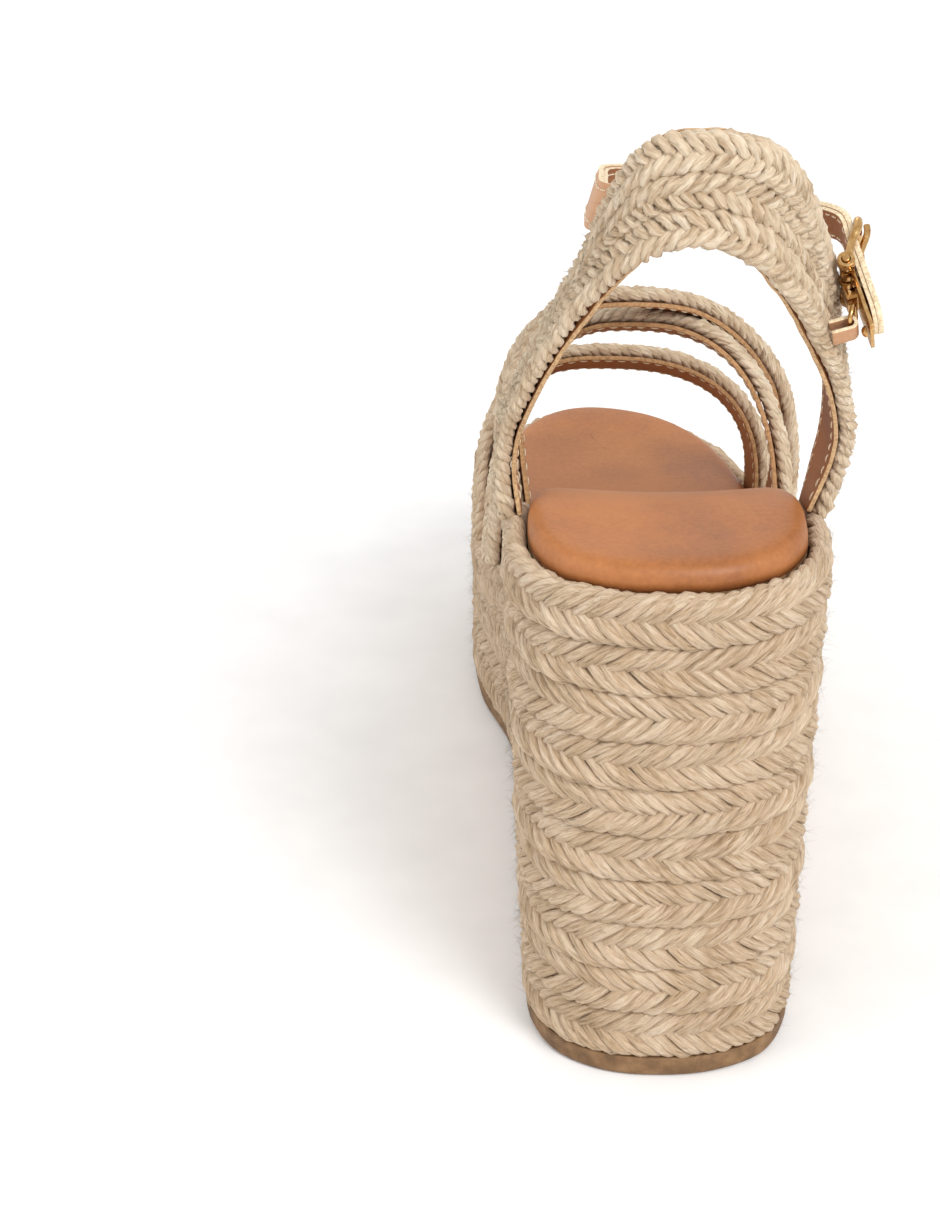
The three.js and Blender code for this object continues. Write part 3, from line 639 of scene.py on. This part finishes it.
CORK = layered("granulated_cork", "#7d5a35", "#c39c6c", 420.0, 0.9, 0.5)
BOARD = layered("pressed_fibre_board", "#7f6243", "#ad8c66", 900.0, 0.92, 0.3)
FOAM = layered("open_cell_latex_foam", "#cfc2a4", "#efe6cf", 1400.0, 0.85, 0.4)
COARSE_JUTE = jute("spun_jute_coarse", "#917452", "#bb9f7f", "#d3ba9e", "#e8d6bf", 9.0)
FINE_JUTE = jute("spun_jute_fine", "#957957", "#c4a98a", "#dcc7ab", "#efe0ca", 7.0)
FOOTBED_LEATHER = leather("smooth_tan_cowhide", "#935a31", "#aa6b3b", "#bb7a47", 0.48, 1500.0, 0.16)
STRAP_LEATHER = leather("tan_strap_leather", "#a06f49", "#ba8963", "#ca9c77", 0.5, 1700.0, 0.25)
# the lining is tan leather, rougher and more pebbled than the footbed's; its colours here are that tan drawn
# darker, painted shade of the insides of the band and straps where the linings lie
LINING_LEATHER_PAINTED_SHADE = leather("tan_lining_leather_painted_shade", "#754522", "#8c562c", "#9e673a", 0.62, 1400.0, 0.35)
RAW_EDGE = cut_edge("raw_cream_leather_edge", "#c9ad85", "#efdfbf")
BUFFED_EDGE = cut_edge("buffed_tan_leather_edge", "#a07c57", "#cdab80")
WORN_EDGE = cut_edge("rubbed_brown_leather_edge", "#8d6844", "#b98f64")
CREPE = crepe_rubber()
GOLD = gold_plate()
THREAD = thread()

# ---- how each kind of plait is made ----
# skin: material; wider, thicker: the strands stand out of the plait's room by this much; pitch: between
# neighbouring strokes; fill: half a strand's width, of that; twist: length of one turn of its plies, and
# ply their relief; step: between rings; sway: how far a strand strays; hairs: loose fibres a millimetre
WEDGE_PLAIT = dict(
    skin=COARSE_JUTE, wider=0.9, thicker=0.2, strands=9, pitch=3.1, fill=0.7, twist=9.0, ply=0.07,
    step=1.2, sway=0.26, hairs=3.4, hair_length=(1.2, 4.0), hair_radius=0.036,
)
BAND_PLAIT = dict(
    skin=FINE_JUTE, wider=0.5, thicker=1.1, strands=5, pitch=2.7, fill=0.6, twist=4.6, ply=0.2,
    step=0.5, sway=0.17, hairs=4.5, hair_length=(0.9, 3.0), hair_radius=0.03,
)
VAMP_PLAIT = dict(
    skin=FINE_JUTE, wider=0.4, thicker=0.9, strands=7, pitch=2.6, fill=0.62, twist=5.0, ply=0.18,
    step=0.6, sway=0.12, hairs=2.0, hair_length=(0.9, 3.0), hair_radius=0.03,
)

# ---- the plaits round the wedge ----
ROW_STEP = (SEAT_HEIGHT - RIM_DROP - SOLE_THICK - RIM_HEIGHT) / ROWS
ROW_MIDDLE = ROW_STEP / 2 - 0.1
FULL_ROOM = 3.0  # a row goes all the way round where the rim leaves it this much height
END_ROOM = 1.0  # and otherwise ends where it has this much
END_SINK = 1.2  # the thin ends of a row lie this much deeper
PLAIT_OUT = 2.8  # the middle of a plait stands this far from the core


def wedge_plait(name, node_name, t, z, closed, way, scale=1.0, sink=0.0, phase=0.0):
    """A plait round the wedge, or along a part of it, at the plan's parameters t and heights z."""
    path = plan(t, z, CORE_INSET - PLAIT_OUT + sink)
    out = plan_out(t, z)
    out[:, 2] += 0.06
    ahead = unit(np.roll(path, -1, 0) - np.roll(path, 1, 0) if closed else np.gradient(path, axis=0))
    across = unit(np.cross(unit(out), ahead))
    across *= np.sign(across[:, 2:3])
    made = plait(
        name, path, across, out, ROW_STEP, WRAP_THICK, way=way, closed=closed, scale=scale, phase=phase,
        **WEDGE_PLAIT,
    )
    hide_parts(node_name)


def rim_room(t, low):
    """The height under the rim for a row that starts at low."""
    return rim_under(plan(t, low + ROW_MIDDLE, 0.0)[:, 1]) - low


def wedge_plaits():
    """The rows from the sole up: the lower ones go all the way round, the upper ones end under the rim,
    and the rim's plait follows the footbed."""
    all_round = np.linspace(0, 1, 900, endpoint=False)
    for row in range(1, ROWS + 1):
        low = SOLE_THICK + GAP + ROW_STEP * (row - 1)
        room = rim_room(all_round, low)
        closed = room.min() > FULL_ROOM
        if closed:
            t, least = all_round, 0.45
        else:
            ends = all_round[room > END_ROOM]
            t, least = np.linspace(ends[ends > 0.5].min() - 1, ends[ends < 0.5].max(), 500), 0.3
        squeeze = np.clip(rim_room(t, low) / ROW_STEP, least, 1.0)
        sink = 0.0 if closed else (1 - smooth(squeeze, 0.3, 0.8)) * END_SINK
        wedge_plait(
            f"plait_row_{row}", f"braid_row_{row}", t, low + ROW_MIDDLE * squeeze, closed,
            1 if (ROWS - row) % 2 else -1, squeeze, sink, phase=row,
        )
    y = plan(all_round, SEAT_HEIGHT / 2, 0.0)[:, 1]
    wedge_plait("plait_rim", "rim_braid", all_round, rim_top(y) - RIM_HEIGHT / 2 + 0.2, True, -1)


# ---- sole and footbed ----
PLAN_POINTS = 336
SOCK_GAP = 0.1
# each level is (inset, rise): from under the sock's edge, round it, and onto its top
SOCK_LEVELS = [
    (3.0, -5.6), (0.0, -5.4), (0.15, -3.4), (0.55, -2.0), (1.25, -0.95), (2.3, -0.3), (3.6, 0.02),
    (5.5, 0.12), (8.0, -0.05),
]
# and then (share of the way to the middle line, rise)
SOCK_HOLLOW = [(0.18, -0.3), (0.36, -0.55), (0.54, -0.75), (0.7, -0.85), (0.84, -0.9), (0.94, -0.95)]
SPINE_LENGTH = 0.86  # of the footbed's
# the sole bulges out a little and has a shallow groove round its side
SOLE_LEVELS = [
    (3.0, 0.0), (1.2, 0.0), (0.55, 0.25), (0.25, 0.8), (0.1, 1.6), (0.25, 2.3), (0.1, 3.0), (0.1, 4.2),
    (0.5, SOLE_THICK),
]
SOLE_BULGE = 0.4
GROOVE_PITCH = 7.0
GROOVE_POINTS = 40
TREAD_BORDER = 9.0


def plan_rings(levels, first_inset, height=np.zeros_like):
    """Rings of the plan: levels lists (inset, rise), from the first inset and the height at y."""
    t = np.arange(PLAN_POINTS) / PLAN_POINTS
    rings = []
    for inset, rise in levels:
        y = plan(t, SEAT_HEIGHT / 2, first_inset + inset)[:, 1]
        rings.append(plan(t, height(y) + rise, first_inset + inset))
    return np.array(rings)


def plan_solid(name, rings, skin):
    """A closed solid from rings of the plan, with strips across its first and last ring."""
    rows, n = rings.shape[:2]
    points = rings.reshape(-1, 3)
    quads, _ = grid_faces(rows, n)
    i = np.arange(1, n // 2 - 1)
    cap = np.stack([n - i, i, i + 1, n - i - 1], 1)
    ends = np.array([[n - 1, 0, 1], [n // 2 + 1, n // 2 - 1, n // 2]])
    top = (rows - 1) * n
    faces = [np.concatenate([quads, cap[:, ::-1], cap + top]), np.concatenate([ends[:, ::-1], ends + top])]
    if volume(points, faces[0]) < 0:
        faces = [group[:, ::-1] for group in faces]
    return make_mesh(name, points, faces, [skin])


def footbed():
    """The padded leather sock: full at the edge, hollowed a little where the heel and ball rest."""
    rings = plan_rings(SOCK_LEVELS, CORE_INSET + SOCK_GAP, foot_top)
    last = rings[-1]
    # the inner rings close on the foot's middle line, which is drawn from opposite points of the last ring
    spine = (last + np.roll(last[::-1], 1, axis=0)) / 2
    spine[:, 1] = TOE_Y / 2 + (spine[:, 1] - TOE_Y / 2) * SPINE_LENGTH
    more = []
    for share, rise in SOCK_HOLLOW:
        ring = last + (spine - last) * share
        ring[:, 2] = foot_top(ring[:, 1]) + rise
        more.append(ring)
    rings = np.concatenate([rings, more])
    # creases where the sock is lasted over the board's edge, and a slow unevenness of hand work
    x, y = rings[..., 0], rings[..., 1]
    slow, crease = np.sin(x / 9 + 1.0) * np.sin(y / 17), np.sin(y / 2.9 + x / 4.0)
    near_edge = np.exp(-np.arange(len(rings)) / 3.0)[:, None]
    rings[..., 2] += 0.10 * slow + 0.07 * near_edge * crease
    made = plan_solid("footbed_sock", rings, FOOTBED_LEATHER)
    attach(made, "sandal")
    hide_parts("footbed_leather")


def tread_grooves(made):
    """Cuts shallow wavy grooves across the tread, short of its border."""
    bundle = Bundle()
    border = plan(np.linspace(0, 1, 400), 0.0, TREAD_BORDER)
    for y in np.arange(12.0, 236.0, GROOVE_PITCH):
        near = border[np.abs(border[:, 1] - y) < 2.5, 0]
        if len(near) < 2 or near.max() - near.min() < 12:
            continue
        x = np.linspace(near.min(), near.max(), GROOVE_POINTS)
        line = np.stack([x, y + 1.1 * np.sin(x / 3.2), np.zeros(GROOVE_POINTS)], 1)
        up = np.broadcast_to((0.0, 0.0, 1.0), line.shape)
        bundle.tube(strand_rings(line, up, 0.7, 0.6, TUBE_SIDES), 1, x, 0.5)
    cut_away(made, bundle.object("grooves"))
    bpy.ops.object.shade_smooth_by_angle(angle=math.radians(40))


def outsole():
    """The crepe sole with its tread."""
    made = plan_solid("crepe_outsole", plan_rings(SOLE_LEVELS, SOLE_INSET - SOLE_BULGE), CREPE)
    tread_grooves(made)
    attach(made, "sandal")
    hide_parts("outsole")


# ---- leather strips: linings and straps ----
LINING_SKINS = [LINING_LEATHER_PAINTED_SHADE, RAW_EDGE]
STRAP_SKINS = [STRAP_LEATHER, RAW_EDGE]
# pitch, length and thickness of the stitches
LINING_STITCH, BAND_STITCH, STRAP_STITCH = (3.2, 2.1, 0.2), (3.2, 2.1, 0.22), (2.6, 1.8, 0.17)
STITCH_DIP = (-0.9, 0.36, 0.6, 0.36, -0.9)  # height of a stitch along its length, of its thickness


def ribbon(name, edge_a, edge_b, out, low, high, skins, wave, columns=6):
    """A leather strip between two edges (n, 3), from low to high along out. Its edges waver a little
    and have the second skin."""
    n = len(edge_a)
    share = np.linspace(0, 1, columns + 1)
    s = np.arange(n)[:, None]
    ripple = wave * (np.sin(s / 2.1) + 0.7 * np.sin(s / 3.7 + 1) + 0.5 * np.sin(s / 1.3 + 2))
    way = unit(edge_b - edge_a)
    edge_a, edge_b = edge_a - way * ripple, edge_b + way * np.roll(ripple, 5, 0)
    face = edge_a[:, None] * (1 - share)[None, :, None] + edge_b[:, None] * share[None, :, None]
    rings = np.concatenate([face + out[:, None] * low, face[:, ::-1] + out[:, None] * high], 1)
    sides = rings.shape[1]
    points = rings.reshape(-1, 3)
    quads, lay = grid_faces(n, sides)
    i = np.arange(columns)
    cap = np.stack([i, i + 1, sides - 2 - i, sides - 1 - i], 1)
    faces = np.concatenate([quads, cap[:, ::-1], cap + (n - 1) * sides])
    raw = np.isin(lay[:, 0, 0], (columns, sides - 1)).astype(int)
    slots = np.concatenate([raw, np.ones(2 * columns, int)])
    if volume(points, faces) < 0:
        faces = faces[:, ::-1]
    return make_mesh(name, points, [faces], skins, smooth_faces=False, face_slots=slots)


def finish_leather(made, soften):
    """Rounds the strip's corners a little and shades it smooth."""
    round_edges(made, soften, 50, 40)


def stitches(name, line, out, stitch, body="sandal"):
    """A row of short stitches that dip into the leather at both ends."""
    pitch, length, thick = stitch
    run = length_along(line)
    bundle = Bundle()
    for start in np.arange(pitch, run[-1] - pitch, pitch):
        s = start + np.linspace(0, length, len(STITCH_DIP))
        up = vectors_at(s, run, out)
        path = vectors_at(s, run, line) + up * np.array(STITCH_DIP)[:, None] * thick
        bundle.tube(strand_rings(path, up, thick, thick, TUBE_SIDES), 1, s, 0.5)
    made = bundle.object(name, THREAD)
    if body:
        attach(made, body)
    return made


# ---- ankle band ----
REAR, FRONT = Spline(BAND_REAR), Spline(BAND_FRONT)
# out from the line between the edges: the lining's two faces and the middle of the plaits
BAND_UNDER, BAND_TOP, BAND_MIDDLE = -4.5, -3.5, -1.5


def band_at(u):
    """The band's rear and front edges and its outward direction, over it from inner to outer leg."""
    rear, front = REAR.even(u), FRONT.even(u)
    return rear, front, unit(np.cross(np.gradient(rear + front, axis=0), front - rear))


def band_plait(name, node_name, low, high, way, phase):
    """One of the band's plaits, between two shares of the band's width."""
    rear, front, out = band_at(np.linspace(0, 1, len(low)))
    a = rear + (front - rear) * low[:, None]
    b = rear + (front - rear) * high[:, None]
    width = np.linalg.norm(b - a, axis=1)
    full = width.max()
    made = plait(
        name, (a + b) / 2 + out * BAND_MIDDLE, unit(b - a), out, full, BRAID, way=way,
        scale=width / full, phase=phase, **BAND_PLAIT,
    )
    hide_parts(node_name)


def ankle_band():
    """Three plaits side by side, of which the middle one is narrow at the legs, on a leather lining."""
    u = np.linspace(0, 1, 500)
    split = 0.44 - 0.09 * np.sin(math.pi * u) ** 2
    band_plait("band_plait_lower", "ankle_braid_lower", np.zeros_like(u), split, 1, 0.3)
    band_plait("band_plait_upper", "ankle_braid_upper", 1 - split, np.ones_like(u), 1, 2.1)
    band_plait("band_plait_middle", "ankle_braid_middle", split - 0.01, 1 - split + 0.01, -1, 1.2)
    rear, front, out = band_at(np.linspace(0, 1, 300))
    across = unit(front - rear)
    skins = [LINING_LEATHER_PAINTED_SHADE, BUFFED_EDGE]
    made = ribbon(
        "band_lining", rear + across * 0.5, front - across * 0.5, out, BAND_UNDER, BAND_TOP, skins, 0.1
    )
    finish_leather(made, 0.2)
    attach(made, "sandal")
    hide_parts("ankle_lining")
    for side, edge, way in (("rear", rear, 1), ("front", front, -1)):
        line = edge + across * 2.2 * way + out * BAND_UNDER
        stitches(f"band_stitches_{side}", line, -out, BAND_STITCH)


# ---- vamp straps ----
EDGE_T = np.linspace(0.0, 1.0, 2001)
LINING_TUCK = 1.1  # the lining is narrower than its plait by this much on each side
STITCH_TUCK = 2.0


def edge_x(y, side):
    """The x of the footbed's edge at y, on the outer (+1) or inner (-1) side."""
    t = EDGE_T[:1001] if side > 0 else EDGE_T[1000:][::-1]
    points = plan(t, foot_top(TOP.at(t)[:, 1]), CORE_INSET)
    keep = slice(20, 980)  # without the heel's and toe's middle, where y turns back
    return np.interp(y, points[keep, 1], points[keep, 0])


def arch(v, y, lift):
    """Points over the foot, with v from the inner to the outer edge, raised by lift."""
    angle = math.pi * (1 - v)
    c, s = np.cos(angle), np.maximum(np.sin(angle), 0)
    power = 2 / VAMP_SQUARE
    rise = lift * np.minimum(1, 1.6 * s)
    base = rim_top(y) + ROOT_GAP
    edge = np.where(c > 0, edge_x(y, 1), edge_x(y, -1))
    reach = np.abs(edge - VAMP_RIDGE_X) + VAMP_STAND_OFF + rise
    ridge = np.interp(y, VAMP_RIDGE_Y, VAMP_RIDGE_Z)
    x = VAMP_RIDGE_X + np.sign(c) * reach * np.abs(c) ** power
    return np.stack([x, y, base + (ridge - base + rise) * s**power], -1)


def vamp_strap(index, inner, outer, over):
    """A plait on its lining, from one side of the footbed to the other."""
    lift = over * (LINING + GAP + BRAID + VAMP_STAND_OFF)
    v = np.linspace(0, 1, 400)
    middle = inner + (outer - inner) * v
    rear, front = (arch(v, middle + side * VAMP_WIDTH / 2, lift) for side in (-1, 1))
    out = unit(np.cross(np.gradient(rear + front, axis=0), front - rear))
    across = unit(front - rear)
    path = (rear + front) / 2 + out * (LINING + GAP + BRAID / 2)
    width = np.linalg.norm(front - rear, axis=1)
    made = plait(
        f"vamp_plait_{index}", path, across, out, VAMP_WIDTH, BRAID, way=1 if index % 2 else -1,
        scale=width / width.max(), phase=index, **VAMP_PLAIT,
    )
    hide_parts(f"vamp_strap_{index}")
    name, skins = f"vamp_strap_lining_{index}", [LINING_LEATHER_PAINTED_SHADE, WORN_EDGE]
    edge_a, edge_b = rear + across * LINING_TUCK, front - across * LINING_TUCK
    skin = ribbon(name, edge_a, edge_b, out, 0.0, LINING, skins, 0.1)
    finish_leather(skin, 0.2)
    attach(skin, "sandal")
    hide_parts(f"vamp_lining_{index}")
    stitches(f"vamp_stitches_rear_{index}", rear + across * STITCH_TUCK, -out, LINING_STITCH)
    stitches(f"vamp_stitches_front_{index}", front - across * STITCH_TUCK, -out, LINING_STITCH)


# ---- ankle strap and buckle ----
FRAME_X = unit(BUCKLE_BACK)
FRAME_Y = unit(np.cross(BUCKLE_OUT, FRAME_X))
FRAME_Z = np.cross(FRAME_X, FRAME_Y)
STRAP_TURN = (0.38, 0.82)  # the strap's width direction turns between these shares of its length
BACKING_GAP = 0.05
BACKING_INSET = 0.25
TIP_ROUND = 4.0  # the tip is rounded over this length
TIP_WIDTH = 0.35  # of the strap's
SLOT_HALF = (5.7, 1.3)  # the prong's slot is an oval; long, because a lifted prong leans over the bar
SLOT_X = -1.7


def at_buckle(x, y, z):
    """A point in the buckle's own directions from the heel bar: back along the strap, across it, out."""
    return HEEL_BAR + x * FRAME_X + y * FRAME_Y + z * FRAME_Z


# from the root on the band, over the fold and round the front of the ankle, to the tip at the buckle
STRAP_LINE = Spline(
    [
        (-3.4, 18.2, 189.5), (-8.3, 24.5, 189), FOLD, (-15, 41, 185.8), (-13.8, 54, 182.5), (-7.5, 69, 177),
        (7, 77.5, 173), (22, 71.5, 172), (30, 60, 174.5), at_buckle(-12, 0, 0), at_buckle(-6, 0, 0),
        at_buckle(2, 0, 0), at_buckle(TIP_LENGTH, 0, 0),
    ]
)


def strap_edges(count):
    """Edges and outward direction of the strap from its root to its tip."""
    u = np.linspace(0, 1, count)
    line = STRAP_LINE.even(u)
    turn = smooth(u, *STRAP_TURN)[:, None]
    up = unit(unit(FOLD_UP) * (1 - turn) - FRAME_Y * turn)
    corner = np.clip((1 - u) * STRAP_LINE.run[-1] / TIP_ROUND, 0, 1)
    share = TIP_WIDTH + (1 - TIP_WIDTH) * np.sqrt(1 - (1 - corner) ** 2)
    half = ANKLE_STRAP_WIDTH / 2 * share[:, None]
    edge_a, edge_b = line + up * half, line - up * half
    return edge_a, edge_b, unit(np.cross(np.gradient(line, axis=0), edge_b - edge_a))


def prong_slot(made):
    """Cuts the slot that the prong passes through."""
    bpy.ops.mesh.primitive_cylinder_add(vertices=24, radius=MM, depth=8 * MM)
    cutter = bpy.context.object
    turn = Matrix(np.stack([FRAME_X, FRAME_Y, FRAME_Z], 1).tolist()).to_4x4()
    place = Matrix.Translation(to_frame(at_buckle(SLOT_X, 0, 0)))
    cutter.matrix_world = place @ turn @ Matrix.Diagonal((*SLOT_HALF, 1, 1))
    cut_away(made, cutter)


def bend_at_fold(made):
    """Bakes the piece's placement into its mesh."""
    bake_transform(made)


def ankle_strap():
    """The strap's outer leather and its lining, with a row of stitches along each edge on both faces."""
    edge_a, edge_b, out = strap_edges(260)
    across = unit(edge_b - edge_a)
    outer = ribbon(
        "ankle_strap_leather", edge_a, edge_b, out, -STRAP_TOP, STRAP_TOP, STRAP_SKINS, 0.03, columns=8
    )
    inner = ribbon(
        "ankle_strap_lining", edge_a + across * BACKING_INSET, edge_b - across * BACKING_INSET, out,
        STRAP_UNDER, -STRAP_TOP - BACKING_GAP, LINING_SKINS, 0.04, columns=8,
    )
    for made, slot, nodes in (
        (outer, "tan_leather", ("strap_leather", "strap_anchor_tab")),
        (inner, "lining_leather", ("strap_backing",)),
    ):
        prong_slot(made)
        finish_leather(made, 0.18)
        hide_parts(*nodes)
        bend_at_fold(made)
    along = slice(6, -12)  # the stitches stop short of the tip
    for side, edge, way in (("upper", edge_a, 1), ("lower", edge_b, -1)):
        for face, level, facing in (("outer", STRAP_TOP, out), ("inner", STRAP_UNDER, -out)):
            line = edge + across * 1.5 * way + out * level
            name = f"strap_stitches_{side}_{face}"
            row = stitches(name, line[along], facing[along], STRAP_STITCH, body=None)
            bend_at_fold(row)


def ring_loop():
    """A strap of leather folded round the ring's fixed bar, its ends sewn to the band."""
    x, z = TAB_AT
    radius, half_wide, half_thick = 1.25, 2.2, 0.4
    angle = np.linspace(math.pi, 0, 17)
    ends = np.linspace(-4.0, -0.4, 7)
    left = np.stack([np.full(7, x - radius), ends + z], 1)
    bend = np.stack([x + radius * np.cos(angle), z + radius * np.sin(angle)], 1)
    right = np.stack([np.full(7, x + radius), ends[::-1] + z], 1)
    middle = np.array([at_buckle(a, 0, b) for a, b in np.concatenate([left, bend, right])])
    edge_a, edge_b = middle - FRAME_Y * half_wide, middle + FRAME_Y * half_wide
    out = unit(np.cross(np.gradient(middle, axis=0), edge_b - edge_a))
    out *= np.sign(((middle - at_buckle(x, 0, z)) * out).sum(1)[len(out) // 2])
    made = ribbon("ring_loop", edge_a, edge_b, out, -half_thick, half_thick, STRAP_SKINS, 0.03, columns=5)
    finish_leather(made, 0.12)
    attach(made, "sandal")
    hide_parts("ring_tab")


def plated(node_name, body, soften):
    """A cast and plated buckle piece: its edges are rounded and its wires are smooth."""
    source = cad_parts[node_name]
    mesh = source.data.copy()
    made = bpy.data.objects.new(node_name + "_cast", mesh)
    made.matrix_world = source.matrix_world.copy()
    bpy.context.scene.collection.objects.link(made)
    pick(made)
    bpy.ops.object.transform_apply(location=True, rotation=True, scale=True)
    bpy.ops.object.mode_set(mode="EDIT")
    bpy.ops.mesh.select_all(action="SELECT")
    bpy.ops.mesh.remove_doubles(threshold=0.02 * MM)
    bpy.ops.mesh.dissolve_limited(angle_limit=math.radians(1))
    bpy.ops.object.mode_set(mode="OBJECT")
    round_edges(made, soften, 48, 50)
    mesh.materials.clear()
    mesh.materials.append(GOLD)
    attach(made, body)
    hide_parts(node_name)


# ---- studio ----
STUDIO_MIDDLE = (0, 0, 0.1)
LAMPS = [  # name, place, size, power
    ("key", (0.75, -1.25, 1.35), 0.9, 21),
    ("fill", (-1.4, -0.5, 0.9), 1.2, 6),
    ("back", (-0.3, 1.6, 1.3), 1.2, 4),
]
WORLD_STRENGTH = 0.85
CAMERA_PLACE = (-0.0396, -0.659, 0.4091)
CAMERA_DOWN = 28.5  # degrees under level
CAMERA_LENS = 92.4


def studio():
    """The paper floor, the light and the camera."""
    scene = bpy.context.scene
    bpy.ops.object.select_all(action="DESELECT")
    bpy.ops.mesh.primitive_plane_add(size=6.0, location=(0, 0, -0.0002))
    floor = bpy.context.object
    floor.name = "studio_floor"
    floor.data.materials.append(paper())
    scene.world = bpy.data.worlds.new("studio")
    scene.world.use_nodes = True
    background = scene.world.node_tree.nodes["Background"]
    background.inputs["Color"].default_value = (1.0, 1.0, 1.0, 1)
    background.inputs["Strength"].default_value = WORLD_STRENGTH
    for name, place, size, power in LAMPS:
        data = bpy.data.lights.new(name, "AREA")
        data.shape, data.size, data.energy = "DISK", size, power
        lamp = bpy.data.objects.new(name, data)
        lamp.location = place
        lamp.rotation_euler = (Vector(STUDIO_MIDDLE) - Vector(place)).to_track_quat("-Z", "Y").to_euler()
        scene.collection.objects.link(lamp)
    data = bpy.data.cameras.new("camera")
    data.lens = CAMERA_LENS
    data.clip_start, data.clip_end = 0.01, 20
    camera = bpy.data.objects.new("camera", data)
    camera.location = CAMERA_PLACE
    camera.rotation_euler = (math.radians(90 - CAMERA_DOWN), 0, 0)
    scene.collection.objects.link(camera)
    scene.camera = camera
    scene.view_settings.view_transform = "Standard"


wedge_plaits()
footbed()
outsole()
ankle_band()
for number, (inner_y, outer_y, is_over) in enumerate(VAMP, 1):
    vamp_strap(number, inner_y, outer_y, is_over)
ankle_strap()
ring_loop()
for piece, owner, edge_radius in (
    ("buckle_frame", "buckle", 0.1), ("heel_bar", "ankle_strap", 0.15), ("prong", "prong", 0.1),
    ("hook_plate", "ankle_strap", 0.16), ("plate_rivet", "ankle_strap", 0.1), ("hook_ring", "ring", 0.08),
):
    plated(piece, owner, edge_radius)
# the inner pieces stay as they were made
for kept, finish in {"wedge_core": CORK, "insole_board": BOARD, "footbed_foam": FOAM}.items():
    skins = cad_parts[kept].data.materials
    skins.clear()
    skins.append(finish)
studio()
